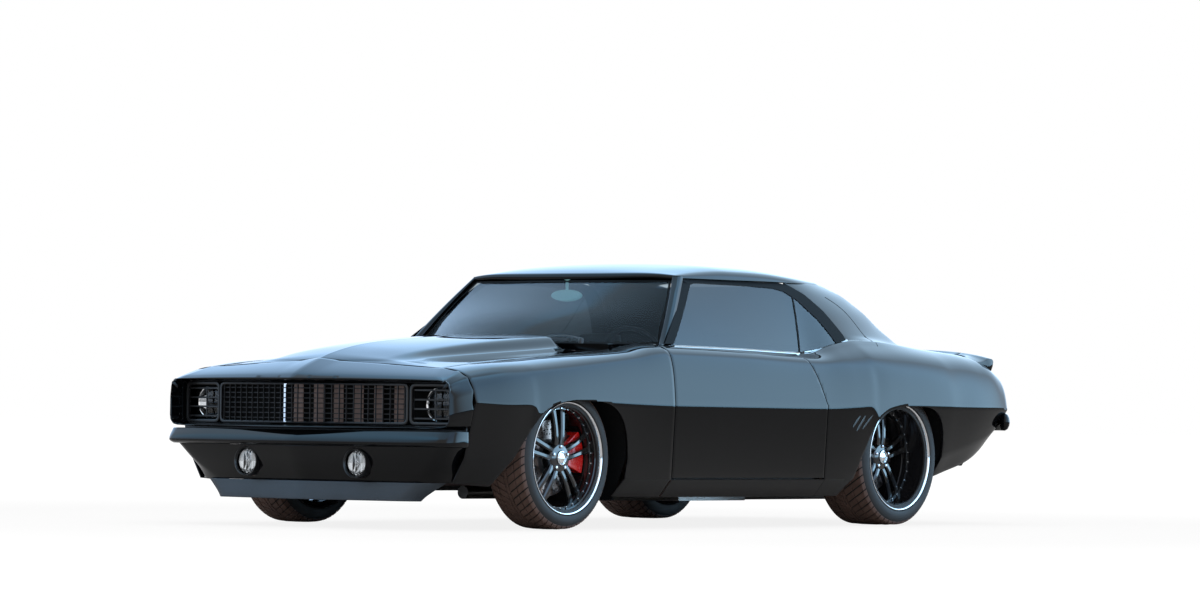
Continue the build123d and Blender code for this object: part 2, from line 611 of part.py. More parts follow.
with BuildPart() as grille:
    with BuildSketch(Plane.XY.offset(GRILLE_LOW + SEAT)) as plate_plan:
        with BuildLine():
            Polyline(*vee(0, 12, GRILLE_HALF - SEAT), close=True)
        make_face()
    extrude(plate_plan.sketch, amount=GRILLE_HIGH - GRILLE_LOW - 2 * SEAT)
    with BuildSketch(across(-2200)) as windows:
        with Locations((0, MOUTH_Z)):
            RectangleRounded(2 * MESH_HALF - 24, MESH_HEIGHT - 16, 26)
        with Locations((-LAMP_DOOR_X, MOUTH_Z), (LAMP_DOOR_X, MOUTH_Z)):
            RectangleRounded(LAMP_DOOR_W, LAMP_DOOR_H, 24)
    extrude(windows.sketch, amount=200, mode=Mode.SUBTRACT)
    with BuildSketch(across(-2200)) as plate_corners:
        with Locations((0, MOUTH_Z)):
            RectangleRounded(2 * GRILLE_HALF - 2 * SEAT, GRILLE_HIGH - GRILLE_LOW - 2 * SEAT, 40)
    extrude(plate_corners.sketch, amount=200, mode=Mode.INTERSECT)
    for row in range(MESH_ROWS):
        z = MOUTH_Z + (row - (MESH_ROWS - 1) / 2) * MESH_HEIGHT / (MESH_ROWS + 1)
        with BuildSketch(Plane.XY.offset(z - BAR / 2)) as bar_plan:
            with BuildLine():
                Polyline(*vee(4, 8, MESH_HALF - 6), close=True)
            make_face()
        extrude(bar_plan.sketch, amount=BAR)
    for column in range(-MESH_COLUMNS, MESH_COLUMNS + 1):
        x = column * MESH_HALF / (MESH_COLUMNS + 1)
        y = GRILLE_TIP_Y + abs(x) * (GRILLE_Y - GRILLE_TIP_Y) / GRILLE_HALF + 8
        with Locations((x, y, MOUTH_Z)):
            Box(BAR, 8, MESH_HEIGHT - 8)
save(grille.part, "grille")

with BuildPart() as lamp_doors:
    for side in (-1, 1):
        with BuildSketch(across(GRILLE_Y + LAMP_DOOR_REAR)) as lamp_door:
            with Locations((side * LAMP_DOOR_X, MOUTH_Z)):
                RectangleRounded(LAMP_DOOR_W - 2 * SEAT, LAMP_DOOR_H - 2 * SEAT, 24 - SEAT)
        extrude(lamp_door.sketch, amount=30)
    for side in (-1, 1):
        for shift in (-1, 0, 1):
            with Locations((side * LAMP_DOOR_X, GRILLE_Y + 8, MOUTH_Z + shift * 52)):
                Box(LAMP_DOOR_W - 40, 60, 36, mode=Mode.SUBTRACT)
save(lamp_doors.part, "lamp_doors")

with BuildPart() as head_lamps:
    for side in (-1, 1):
        with Locations(Location((side * LAMP_DOOR_X, GRILLE_Y + LAMP_DOOR_REAR + SEAT + 35, MOUTH_Z), (90, 0, 0))):
            Cylinder(82, 70)
save(head_lamps.part, "head_lamps")

RAIL_X, RAIL_W = 435.0, 60.0
RAIL_FRONT_Y = -2080.0
BUMPER_ARM_Y = -2318.0        # front end of the arms that carry the bumper
with BuildPart() as front_bumper:
    loft_plans([
        (380, [(0, -2356), (790, -2280), (846, -2240), (862, -2160)]),
        (398, [(0, -HALF_LENGTH), (800, -2305), (866, -2258), (884, -2160)]),
        (444, [(0, -2332), (795, -2268), (858, -2228), (880, -2160)]),
    ], 16)
    for side in (-1, 1):
        with Locations((side * RAIL_X, (RAIL_FRONT_Y - SEAT - BUMPER_ARM_Y) / 2 + BUMPER_ARM_Y, 412)):
            Box(40, RAIL_FRONT_Y - SEAT - BUMPER_ARM_Y, 44)
save(front_bumper.part, "front_bumper")

FOG_X, FOG_Z, FOG_R, FOG_BEZEL_R = 333.0, 302.0, 58.0, 70.0
with BuildPart() as front_valance:
    loft_plans([
        (216, [(0, -2290), (560, -2215), (620, -2180), (640, -2120)]),
        (300, [(0, -2330), (700, -2235), (760, -2190), (775, -2120)]),
        (379.6, [(0, -2345), (770, -2262), (826, -2222), (838, -2140)]),
    ], 12)
    for side in (-1, 1):
        with Locations(Location((side * FOG_X, -2280, FOG_Z), (90, 0, 0))):
            Cylinder(FOG_BEZEL_R, 200, mode=Mode.SUBTRACT)
save(front_valance.part, "front_valance")

with BuildPart() as fog_lamps:
    for side in (-1, 1):
        with Locations(Location((side * FOG_X, -2265, FOG_Z), (90, 0, 0))):
            Cylinder(FOG_BEZEL_R - SEAT, 90)
        with Locations(Location((side * FOG_X, -2300, FOG_Z), (90, 0, 0))):
            Cylinder(FOG_R, 90, mode=Mode.SUBTRACT)
save(fog_lamps.part, "fog_lamps")

with BuildPart() as chin_spoiler:
    loft_plans([
        (130, [(0, -2312), (520, -2235), (580, -2205), (600, -2150)]),
        (215.6, [(0, -2300), (600, -2212), (690, -2160), (712, -2105)]),
    ], 14)
save(chin_spoiler.part, "chin_spoiler")

# ---------------------------------------------------------------- wheels and tyres
# A wheel on the left side: x of the tyre's outer and inner faces, tyre and rim radii, and how far the spokes
# and hub sit behind the lip.
Wheel = namedtuple("Wheel", "axle_y tyre_r outer_x inner_x lip_r dish")
FRONT_WHEEL = Wheel(FRONT_AXLE_Y, 334.0, 885.0, 640.0, 264.0, 34.0)
REAR_WHEEL = Wheel(REAR_AXLE_Y, 345.0, 888.0, 582.0, 269.0, 100.0)
BEAD_R = 242.0                # outside of the rim's barrel, where the tyre sits
BARREL = 8.0
LIP = 12.0
LIP_INSET = 3.0               # from the tyre's outer face to the lip
HUB_R, HUB_DEPTH = 78.0, 62.0
SPOKES = 5
DISC_R, DISC_T = 178.0, 26.0
BRAKE_GAP = 6.0               # running gap of disc and caliper, and of caliper and spokes
SPINDLE_R = 20.0
DISC_BEHIND = 92.0            # disc's middle behind the hub's face
HUB_BORE = 70.0               # depth of the spindle's bore, from the hub's inner end


def ring(points):
    """Adds a body of revolution about the axle: points give x and radius, drawn on the YZ-free plane z over x."""
    with BuildSketch(Plane.XZ) as half:
        with BuildLine():
            Polyline(*points, close=True)
        make_face()
    return half.sketch


def build_tyre(wheel):
    """A low tyre with round shoulders, on the left side, about the X axis through the origin."""
    out, inn, r, lip = wheel.outer_x, wheel.inner_x, wheel.tyre_r, wheel.lip_r
    bead_out = out - LIP_INSET - LIP - SEAT
    bead_in = inn + LIP_INSET + LIP + SEAT
    with BuildPart() as tyre:
        half = ring([
            (bead_out, BEAD_R + SEAT), (bead_out, lip + 1), (out - 4, lip + 4), (out, lip + 30), (out - 13, r - 15),
            (out - 26, r - 3), (out - 60, r), (inn + 60, r), (inn + 26, r - 3), (inn + 13, r - 15), (inn, lip + 30),
            (inn + 4, lip + 4), (bead_in, lip + 1), (bead_in, BEAD_R + SEAT),
            (bead_in + 14, BEAD_R + SEAT), (inn + 40, lip + 40), (inn + 60, r - 14), (out - 60, r - 14),
            (out - 40, lip + 40), (bead_out - 14, BEAD_R + SEAT),
        ])
        revolve(half, axis=Axis.X)
    return tyre.part


def build_wheel(wheel):
    """Rim, twin spokes, hub and brake disc, on the left side, about the X axis through the origin."""
    lip_out = wheel.outer_x - LIP_INSET
    lip_in = wheel.inner_x + LIP_INSET
    face = lip_out - wheel.dish
    disc_x = face - DISC_BEHIND
    with BuildPart() as rim:
        revolve(ring([
            (lip_out, wheel.lip_r), (lip_out, wheel.lip_r - 8), (lip_out - LIP, BEAD_R - BARREL),
            (lip_in + LIP, BEAD_R - BARREL), (lip_in, wheel.lip_r - 10), (lip_in, wheel.lip_r),
            (lip_in + LIP, wheel.lip_r), (lip_in + LIP, BEAD_R), (lip_out - LIP, BEAD_R),
            (lip_out - LIP, wheel.lip_r),
        ]), axis=Axis.X)
        revolve(ring([
            (face, 0), (face, HUB_R - 30), (face - 14, HUB_R), (face - HUB_DEPTH, HUB_R),
            (face - HUB_DEPTH, HUB_R + 8), (disc_x + DISC_T / 2, HUB_R + 10), (disc_x + DISC_T / 2, DISC_R),
            (disc_x - DISC_T / 2, DISC_R), (disc_x - DISC_T / 2, HUB_R - 20),
            (disc_x - DISC_T / 2, SPINDLE_R + SEAT), (face - 30, SPINDLE_R + SEAT), (face - 30, 0),
        ]), axis=Axis.X)
        for count in range(SPOKES):
            angle = 90 + count * 360 / SPOKES
            for lean in (-1, 1):
                with BuildSketch(Plane.YZ.offset(face - 42)) as spoke:
                    with BuildLine():
                        turn = radians(angle)
                        along = (cos(turn), sin(turn))
                        aside = (-sin(turn), cos(turn))
                        corners = [(60, 8), (BEAD_R - 3, 26), (BEAD_R - 3, 56), (60, 32)]
                        Polyline(*[(along[0] * a + aside[0] * b * lean, along[1] * a + aside[1] * b * lean)
                                   for a, b in corners], close=True)
                    make_face()
                extrude(spoke.sketch, amount=28)
    return rim.part


def place(piece, axle_y, axle_z, side):
    """Moves a piece built about the X axis to its axle, on the left (1) or right (-1) side."""
    with BuildPart() as placed:
        shown = piece if side > 0 else mirror(piece, about=Plane.YZ, mode=Mode.PRIVATE)
        add(Pos(0, axle_y, axle_z) * shown)
    return placed.part


for end, wheel in (("front", FRONT_WHEEL), ("rear", REAR_WHEEL)):
    tyre, rim = build_tyre(wheel), build_wheel(wheel)
    for side_name, side in (("left", 1), ("right", -1)):
        save(place(tyre, wheel.axle_y, wheel.tyre_r, side), f"tyre_{end}_{side_name}")
        save(place(rim, wheel.axle_y, wheel.tyre_r, side), f"wheel_{end}_{side_name}")

# ---------------------------------------------------------------- knuckles with spindle and caliper
KINGPIN_X, KINGPIN_R = 700.0, 14.0
ARM_LOW, ARM_HIGH = -118.0, 122.0     # heights of the two arms over the axle
ARM_HALF = 13.0
CALIPER_IN_R, CALIPER_OUT_R = 108.0, 216.0


def caliper_outline(low_r, high_r, middle, spread):
    """Side-view sector of a caliper round the axle."""
    steps = 6
    angles = [radians(middle - spread + 2 * spread * i / steps) for i in range(steps + 1)]
    outer = [(high_r * cos(a), high_r * sin(a)) for a in angles]
    inner = [(low_r * cos(a), low_r * sin(a)) for a in angles[::-1]]
    return outer + inner


def add_caliper(disc_x, outer_x, root_x, middle):
    """A caliper that straddles the disc, from its root outwards."""
    with BuildSketch(Plane.YZ.offset(root_x)) as sector:
        with BuildLine():
            Polyline(*caliper_outline(CALIPER_IN_R, CALIPER_OUT_R, middle, 27), close=True)
        make_face()
    with BuildSketch(Plane.YZ.offset(disc_x - DISC_T / 2 - BRAKE_GAP)) as slot:
        with BuildLine():
            Polyline(*caliper_outline(60, DISC_R + BRAKE_GAP, middle, 50), close=True)
        make_face()
    extrude(sector.sketch, amount=outer_x - root_x)
    extrude(slot.sketch, amount=DISC_T + 2 * BRAKE_GAP, mode=Mode.SUBTRACT)


front_face = FRONT_WHEEL.outer_x - LIP_INSET - FRONT_WHEEL.dish
front_disc_x = front_face - DISC_BEHIND
with BuildPart() as knuckle:
    add_caliper(front_disc_x, front_face - 42 - BRAKE_GAP, front_disc_x - 44, 8)
    with BuildSketch(Plane.YZ.offset(front_disc_x - 44)) as upright:
        with BuildLine():
            Polyline((-34, ARM_LOW + 30), (34, ARM_LOW + 30), (120, -40), (150, 0), (120, 50), (34, ARM_HIGH - 30),
                     (-34, ARM_HIGH - 30), close=True)
        make_face()
    extrude(upright.sketch, amount=22)
    with Locations((KINGPIN_X, 0, (ARM_LOW + ARM_HIGH) / 2)):
        Box(34, 40, ARM_HIGH - ARM_LOW - 60)
        Cylinder(KINGPIN_R, ARM_HIGH - ARM_LOW + 2 * ARM_HALF)
    with Locations(Location((0, 0, 0), (0, 90, 0))):
        with Locations((0, 0, (KINGPIN_X + front_face - 32) / 2)):
            Cylinder(SPINDLE_R, front_face - 32 - KINGPIN_X)
for side_name, side in (("left", 1), ("right", -1)):
    save(place(knuckle.part, FRONT_AXLE_Y, FRONT_WHEEL.tyre_r, side), f"knuckle_{side_name}")

# ---------------------------------------------------------------- levels of the floor
FLOOR_LOW, FLOOR_HIGH = 185.0, 200.0
TRUNK_LOW, TRUNK_HIGH = 445.0, 460.0
FLOOR_REAR_Y = 1000.0
FLOOR_SHEET = 14.0

# ---------------------------------------------------------------- rear axle with calipers, links and coils
rear_face = REAR_WHEEL.outer_x - LIP_INSET - REAR_WHEEL.dish
rear_disc_x = rear_face - DISC_BEHIND
AXLE_TUBE_R = 38.0
LINK_X = 470.0
with BuildPart() as axle_half:
    add_caliper(rear_disc_x, rear_face - 42 - BRAKE_GAP, rear_disc_x - 44, 172)
    with BuildSketch(Plane.YZ.offset(rear_disc_x - 44)) as flange:
        with BuildLine():
            Polyline((40, 60), (-40, 60), (-140, 40), (-140, -20), (-40, -60), (40, -60), close=True)
        make_face()
    extrude(flange.sketch, amount=20)
    with Locations(Location(((rear_disc_x - 24) / 2, 0, 0), (0, 90, 0))):
        Cylinder(AXLE_TUBE_R, rear_disc_x - 24)
    with Locations(Location(((rear_disc_x - 44 + rear_face - 32) / 2, 0, 0), (0, 90, 0))):
        Cylinder(SPINDLE_R, rear_face - 32 - rear_disc_x + 44)
    with Locations((LINK_X, (FLOOR_REAR_Y + FLOOR_SHEET / 2 + SEAT - REAR_AXLE_Y) / 2, -AXLE_TUBE_R)):
        Box(50, REAR_AXLE_Y - FLOOR_REAR_Y - FLOOR_SHEET / 2 - SEAT, 36)
    coil_top = TRUNK_LOW - SEAT - REAR_WHEEL.tyre_r
    with Locations((LINK_X, 0, coil_top / 2)):
        Cylinder(42, coil_top)
with BuildPart() as rear_axle:
    add(Pos(0, REAR_AXLE_Y, REAR_WHEEL.tyre_r) * axle_half.part)
    mirror(about=Plane.YZ)
    with Locations(Location((0, REAR_AXLE_Y, REAR_WHEEL.tyre_r), (0, 90, 0))):
        Cylinder(84, 230)
save(rear_axle.part, "rear_axle")

# ---------------------------------------------------------------- front subframe with arms
RAIL_LOW, RAIL_HIGH = 200.0, 280.0
FIREWALL_Y, FIREWALL_T = -800.0, 14.0
AXLE_Z = FRONT_WHEEL.tyre_r
with BuildPart() as front_subframe:
    for side in (-1, 1):
        with Locations((side * RAIL_X, (RAIL_FRONT_Y + FIREWALL_Y - SEAT) / 2, (RAIL_LOW + RAIL_HIGH) / 2)):
            Box(RAIL_W, FIREWALL_Y - SEAT - RAIL_FRONT_Y, RAIL_HIGH - RAIL_LOW)
        with Locations((side * RAIL_X, RAIL_FRONT_Y + 10, (RAIL_LOW + 436) / 2)):
            Box(RAIL_W, 20, 436 - RAIL_LOW)
        with Locations((side * RAIL_X, FRONT_AXLE_Y, 380)):
            Box(RAIL_W, 200, 200)
        for height in (ARM_LOW, ARM_HIGH):
            with BuildSketch(Plane.XY.offset(AXLE_Z + height - ARM_HALF)) as arm:
                with BuildLine():
                    Polyline(*[(side * x, FRONT_AXLE_Y + y) for x, y in
                               [(430, -95), (660, -26), (KINGPIN_X, -30), (KINGPIN_X + 26, 0), (KINGPIN_X, 30),
                                (660, 26), (430, 95)]], close=True)
                make_face()
                with Locations((side * KINGPIN_X, FRONT_AXLE_Y)):
                    Circle(KINGPIN_R + SEAT, mode=Mode.SUBTRACT)
            extrude(arm.sketch, amount=2 * ARM_HALF)
    with Locations((0, FRONT_AXLE_Y, 220)):
        Box(2 * RAIL_X, 150, 40)
    with Locations((0, -2040, 240)):
        Box(2 * RAIL_X, 70, 60)
save(front_subframe.part, "front_subframe")

with BuildPart() as engine:
    with Locations((0, -1330, 500)):
        Box(520, 700, 519.4)
save(engine.part, "engine")

with BuildPart() as radiator:
    with Locations((0, -2040, (270 + SEAT + 720) / 2)):
        Box(760, 50, 450 - SEAT)
save(radiator.part, "radiator")

# ---------------------------------------------------------------- floor pan: floors, tunnel, rockers, pillars
TUB_X = 548.0
with BuildPart() as floor_pan:
    with Locations((0, (FIREWALL_Y + 830) / 2, (FLOOR_LOW + FLOOR_HIGH) / 2)):
        Box(1560, 830 - FIREWALL_Y, FLOOR_HIGH - FLOOR_LOW)
    with Locations((0, (830 + FLOOR_REAR_Y) / 2, (FLOOR_LOW + FLOOR_HIGH) / 2)):
        Box(2 * TUB_X, FLOOR_REAR_Y - 830 + 2, FLOOR_HIGH - FLOOR_LOW)
    with Locations((0, FLOOR_REAR_Y, (FLOOR_LOW + TRUNK_HIGH) / 2)):
        Box(2 * TUB_X, FLOOR_SHEET, TRUNK_HIGH - FLOOR_LOW)
    with Locations((0, (FLOOR_REAR_Y + 2225) / 2, (TRUNK_LOW + TRUNK_HIGH) / 2)):
        Box(2 * TUB_X, 2225 - FLOOR_REAR_Y, TRUNK_HIGH - TRUNK_LOW)
    with BuildSketch(Plane.XZ.offset(400)) as tunnel:
        with BuildLine():
            Polyline((-150, FLOOR_HIGH), (-110, 330), (110, 330), (150, FLOOR_HIGH), (135, FLOOR_HIGH), (100, 316),
                     (-100, 316), (-135, FLOOR_HIGH), close=True)
        make_face()
    extrude(tunnel.sketch, amount=385.7)
    extrude(tunnel.sketch, amount=-900)
    for side in (-1, 1):
        with BuildSketch(across(A_POST_Y - 3)) as rocker:
            with BuildLine():
                Polyline(*[(side * x, z) for x, z in
                           [(778, 150), (850, 150), (919, SILL_TOP - 2), (905, SILL_TOP), (778, SILL_TOP)]],
                         close=True)
            make_face()
        extrude(rocker.sketch, amount=-(B_POST_LOW_Y - A_POST_Y))
        with Locations((side * 734, -668, (FLOOR_LOW + 770) / 2)):
            Box(68, 200, 770 - FLOOR_LOW)
        for height in DOOR_HINGE_HEIGHTS:
            with BuildSketch(Plane.XY.offset(height - EYE_HALF)) as bracket:
                with BuildLine():
                    Polyline(*[(side * x, y) for x, y in
                               [(760, DOOR_PIN_Y - 38), (DOOR_PIN_X, DOOR_PIN_Y - 10), (DOOR_PIN_X, DOOR_PIN_Y + 6),
                                (760, DOOR_PIN_Y - 20)]], close=True)
                make_face()
                with Locations((side * DOOR_PIN_X, DOOR_PIN_Y)):
                    Circle(EYE_R)
                    Circle(PIN_R + SEAT, mode=Mode.SUBTRACT)
            extrude(bracket.sketch, amount=2 * EYE_HALF)
save(floor_pan.part, "floor_pan")


def hinge_arm(side, outline, pin):
    """Adds an arm at one side, with an eye round the lid's pin: outline and pin in side view."""
    with BuildSketch(Plane.YZ.offset(side * HINGE_X - HINGE_HALF)) as arm_face:
        with BuildLine():
            Polyline(*outline, close=True)
        make_face()
        with Locations(pin):
            Circle(LID_EYE_R)
            Circle(LID_PIN_R + SEAT, mode=Mode.SUBTRACT)
    extrude(arm_face.sketch, amount=2 * HINGE_HALF)


# ---------------------------------------------------------------- firewall with inner fenders and hood hinges
FIREWALL_TOP = 826.0
INNER_FENDER_X, INNER_FENDER_FRONT = 479.0, -1870.0
with BuildPart() as firewall:
    with Locations((0, FIREWALL_Y + FIREWALL_T / 2, (FLOOR_HIGH + SEAT + FIREWALL_TOP) / 2)):
        Box(1400, FIREWALL_T, FIREWALL_TOP - FLOOR_HIGH - SEAT)
    for side in (-1, 1):
        with Locations((side * INNER_FENDER_X, (INNER_FENDER_FRONT + FIREWALL_Y + 2) / 2, 520)):
            Box(FLOOR_SHEET, FIREWALL_Y + 2 - INNER_FENDER_FRONT, 440)
        with Locations((side * INNER_FENDER_X, FRONT_AXLE_Y, 340)):
            Box(FLOOR_SHEET + 2, 230, 300, mode=Mode.SUBTRACT)
        hinge_arm(side, [
            (HOOD_PIN_Y - LID_EYE_R, HOOD_PIN_Z), (HOOD_PIN_Y - LID_EYE_R, 770), (FIREWALL_Y + 2, 735),
            (FIREWALL_Y + 2, 775), (HOOD_PIN_Y + LID_EYE_R, 792), (HOOD_PIN_Y + LID_EYE_R, HOOD_PIN_Z),
        ], (HOOD_PIN_Y, HOOD_PIN_Z))
save(firewall.part, "firewall")

# ---------------------------------------------------------------- rear wheel tubs, seat back, shelf, deck hinges
TUB_TOP, TUB_FRONT_Y, TUB_REAR_Y = 750.0, 930.0, 1730.0
SEAT_BACK_Y = 1130.0
with BuildPart() as rear_tubs:
    with Locations((0, SEAT_BACK_Y, (TRUNK_HIGH + SEAT + SHELF_TOP_Z) / 2)):
        Box(1100, FLOOR_SHEET, SHELF_TOP_Z - TRUNK_HIGH - SEAT)
    with Locations((0, (SEAT_BACK_Y - 7 + TUB_REAR_Y) / 2, SHELF_TOP_Z - 6)):
        Box(1100, TUB_REAR_Y - SEAT_BACK_Y + 7, 12)
    for side in (-1, 1):
        with Locations((side * (TUB_X + SEAT + FLOOR_SHEET / 2), (TUB_FRONT_Y + TUB_REAR_Y) / 2, 530)):
            Box(FLOOR_SHEET, TUB_REAR_Y - TUB_FRONT_Y, 2 * (TUB_TOP - 530))
        with Locations((side * (TUB_X + SEAT + FLOOR_SHEET / 2), REAR_AXLE_Y, REAR_WHEEL.tyre_r)):
            Box(FLOOR_SHEET + 2, 2 * AXLE_TUBE_R + 30, 2 * AXLE_TUBE_R + 30, mode=Mode.SUBTRACT)
        with Locations((side * (TUB_X + 152), (TUB_FRONT_Y + TUB_REAR_Y) / 2, TUB_TOP - FLOOR_SHEET / 2)):
            Box(300, 700, FLOOR_SHEET)
        hinge_arm(side, [
            (DECK_PIN_Y + LID_EYE_R, DECK_PIN_Z), (DECK_PIN_Y + LID_EYE_R, 822), (1700, 850), (1700, 895),
            (1729, 895), (1729, 880), (1741, 880), (1741, 886.7), (1788, 884), (1788, 852),
            (DECK_PIN_Y - LID_EYE_R - 6, 850), (DECK_PIN_Y - LID_EYE_R, DECK_PIN_Z),
        ], (DECK_PIN_Y, DECK_PIN_Z))
save(rear_tubs.part, "rear_tubs")

PIPE_X, PIPE_R = 250.0, 32.0
MUFFLER_W, MUFFLER_L, MUFFLER_H = 230.0, 560.0, 66.0
PIPE_Z = FLOOR_LOW - SEAT - MUFFLER_H / 2
with BuildPart() as exhaust:
    for side in (-1, 1):
        with Locations(Location((side * PIPE_X, 650, PIPE_Z), (90, 0, 0))):
            Cylinder(PIPE_R, 2900)
        with Locations((side * PIPE_X, 420, PIPE_Z)):
            Box(MUFFLER_W, MUFFLER_L, MUFFLER_H)
    with Locations((0, 2000, PIPE_Z)):
        Box(2 * PIPE_X, 20, 20)
save(exhaust.part, "exhaust")

# ---------------------------------------------------------------- cabin
SEAT_X, SEAT_W = 402.0, 480.0
with BuildPart() as front_seats:
    for side in (-1, 1):
        with BuildSketch(Plane.YZ.offset(side * SEAT_X - SEAT_W / 2)) as seat:
            with BuildLine():
                Polyline((-160, FLOOR_HIGH + SEAT), (300, FLOOR_HIGH + SEAT), (390, 360), (520, 850), (500, 960),
                         (430, 955), (400, 840), (300, 440), (260, 400), (-170, 430), (-190, 380), close=True)
            make_face()
        extrude(seat.sketch, amount=SEAT_W)
save(front_seats.part, "front_seats")

with BuildPart() as rear_seat:
    with BuildSketch(Plane.YZ.offset(-530)) as bench:
        with BuildLine():
            Polyline((640, FLOOR_HIGH + SEAT), (640, 440), (960, 410), (1070, 880), (1122.7, 880), (1122.7, 480),
                     (992, 470), (992, FLOOR_HIGH + SEAT), close=True)
        make_face()
    extrude(bench.sketch, amount=1060)
save(rear_seat.part, "rear_seat")

COLUMN_TILT = 24.0
WHEEL_CENTRE = (370.0, -225.0, 800.0)
RIM_R, GRIP_R = 180.0, 13.0
column_axis = Vector(0, -cos(radians(COLUMN_TILT)), -sin(radians(COLUMN_TILT)))
with BuildPart() as dashboard:
    with BuildSketch(Plane.YZ.offset(-680)) as dash:
        with BuildLine():
            Polyline((-785.6, 640), (-785.6, 822), (-560, 822), (-470, 800), (-440, 740), (-480, 640), close=True)
        make_face()
    extrude(dash.sketch, amount=1360)
    with BuildSketch(Plane(origin=Vector(*WHEEL_CENTRE) + column_axis * 60, z_dir=column_axis)) as column:
        Circle(26)
    extrude(column.sketch, amount=300)
save(dashboard.part, "dashboard")

with BuildPart() as steering_wheel:
    wheel_plane = Plane(origin=WHEEL_CENTRE, x_dir=(1, 0, 0), z_dir=column_axis)
    with BuildSketch(Plane(origin=WHEEL_CENTRE, x_dir=(1, 0, 0), z_dir=wheel_plane.y_dir)) as grip:
        with Locations((RIM_R, 0)):
            Circle(GRIP_R)
    revolve(grip.sketch, axis=Axis(WHEEL_CENTRE, column_axis))
    with BuildSketch(wheel_plane) as spokes:
        Circle(34)
        with PolarLocations(RIM_R / 2, 3, start_angle=90):
            Rectangle(RIM_R - 6, 26)
    extrude(spokes.sketch, amount=10)
    with BuildSketch(wheel_plane) as boss:
        Circle(24)
    extrude(boss.sketch, amount=60 - SEAT)
save(steering_wheel.part, "steering_wheel")

with BuildPart() as mirror_inside:
    with Locations((0, -318, 1123)):
        Box(250, 26, 62)
    with Locations((0, -312, 1168)):
        Box(16, 12, 95)
save(mirror_inside.part, "mirror_inside")
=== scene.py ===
"""Looks of a lowered two-door coupe: gloss panels, glass, wheels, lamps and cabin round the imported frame."""
import math
from itertools import product

import bmesh
import bpy
import numpy as np
from bpy.props import FloatProperty, FloatVectorProperty, IntProperty, PointerProperty
from mathutils import Matrix, Vector


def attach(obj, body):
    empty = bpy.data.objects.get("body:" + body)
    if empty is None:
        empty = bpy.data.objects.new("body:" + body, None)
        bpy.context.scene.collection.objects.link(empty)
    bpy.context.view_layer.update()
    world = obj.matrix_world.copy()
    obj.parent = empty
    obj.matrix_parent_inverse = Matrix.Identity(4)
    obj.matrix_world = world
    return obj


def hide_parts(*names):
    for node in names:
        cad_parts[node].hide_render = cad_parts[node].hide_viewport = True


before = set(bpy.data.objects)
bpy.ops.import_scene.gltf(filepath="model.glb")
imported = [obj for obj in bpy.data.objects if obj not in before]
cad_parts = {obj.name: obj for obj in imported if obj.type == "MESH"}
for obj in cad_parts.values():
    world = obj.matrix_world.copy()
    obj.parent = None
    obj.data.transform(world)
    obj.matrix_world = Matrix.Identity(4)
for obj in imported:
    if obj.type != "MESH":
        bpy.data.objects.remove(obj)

bl_info = {
    "name": "Lowered Coupe Looks",
    "version": (1, 0, 0),
    "blender": (4, 5, 0),
    "location": "View3D > Sidebar > Coupe",
    "description": "Builds the visible panels, glass, wheels, lamps and cabin of a lowered two-door coupe",
    "category": "Object",
}

MM = 0.001
SIDE_NAMES = {1: "left", -1: "right"}
BOTH = tuple(SIDE_NAMES.items())
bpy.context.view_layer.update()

# ---------------- sizes shared by several pieces, millimetres
FRONT_AXLE_Y, REAR_AXLE_Y = -1420.0, 1323.0
A_POST_Y, B_POST_TOP_Y, B_POST_LOW_Y = -665.0, 488.0, 602.0
GAP = 6.0
SILL_TOP, CREASE_Z = 236.0, 600.0
NOSE_SEAM_Y, TAIL_Y = -2135.0, 2300.0
COWL_Y, DECK_FRONT_Y, DECK_REAR_Y = -905.0, 1806.0, 2308.0
RAIL_Z = 1215.0
HOOD_X, DECK_X, SPOILER_X = 694, 634, 802
LID_HINGE_X, DOOR_HINGE_Z = 520, (350, 720)
SPOKE_PAIRS, LUG_NUTS = 5, 5
GRILLE_Z, HEAD_LAMP_X, FOG_X, FOG_Z = 575, 699, 333, 302

# Side sections: y, then x and z of sill, lower side, crease, shoulder, belt and inner edge.
SIDES = [
    (-2135, 770, 215, 835, 330, 902, 588, 862, 690, 800, 728, 700, 744),
    (-1900, 800, 200, 872, 330, 932, 577, 900, 705, 835, 756, 700, 769),
    (-1640, 815, 190, 888, 330, 943, 585, 912, 728, 842, 776, 700, 790),
    (-1434, 830, 170, 900, 300, 945, 602, 914, 748, 846, 794, 700, 808),
    (-932, 845, 152, 917, 236, 942, 600, 910, 795, 848, 838, 700, 847),
    (-658, 850, 150, 920, 236, 940, 598, 907, 820, 845, 872, 720, 884),
    (0, 850, 150, 920, 236, 940, 598, 903, 815, 833, 867, 720, 867),
    (600, 850, 150, 920, 236, 940, 599, 898, 806, 803, 858, 760, 858),
    (860, 850, 152, 916, 240, 943, 601, 905, 806, 790, 907, 745, 907),
    (1080, 845, 160, 905, 260, 945, 602, 907, 812, 772, 930, 640, 926),
    (1323, 835, 200, 900, 300, 945, 603, 903, 815, 760, 926, 600, 925),
    (1700, 830, 247, 888, 350, 942, 601, 893, 806, 745, 898, 598, 912),
    (1790, 826, 267, 883, 370, 938, 600, 887, 801, 740, 892, 640, 902),
    (2060, 815, 335, 868, 430, 926, 598, 872, 790, 728, 876, 640, 888),
    (2200, 800, 400, 856, 470, 910, 596, 860, 778, 718, 862, 640, 874),
    (2300, 795, 480, 845, 520, 892, 594, 842, 750, 700, 832, 640, 845),
]
# How far the crease dips ahead of each wheel opening, by y.
CREASE_DIPS = [(-1790, 0), (-1742, -8), (-1722, -48), (-1690, -50), (-1600, -26), (-1450, -4), (-1420, 0), (985, 0),
               (1012, -14), (1036, -70), (1060, -68), (1140, -30), (1280, -2), (1310, 0)]
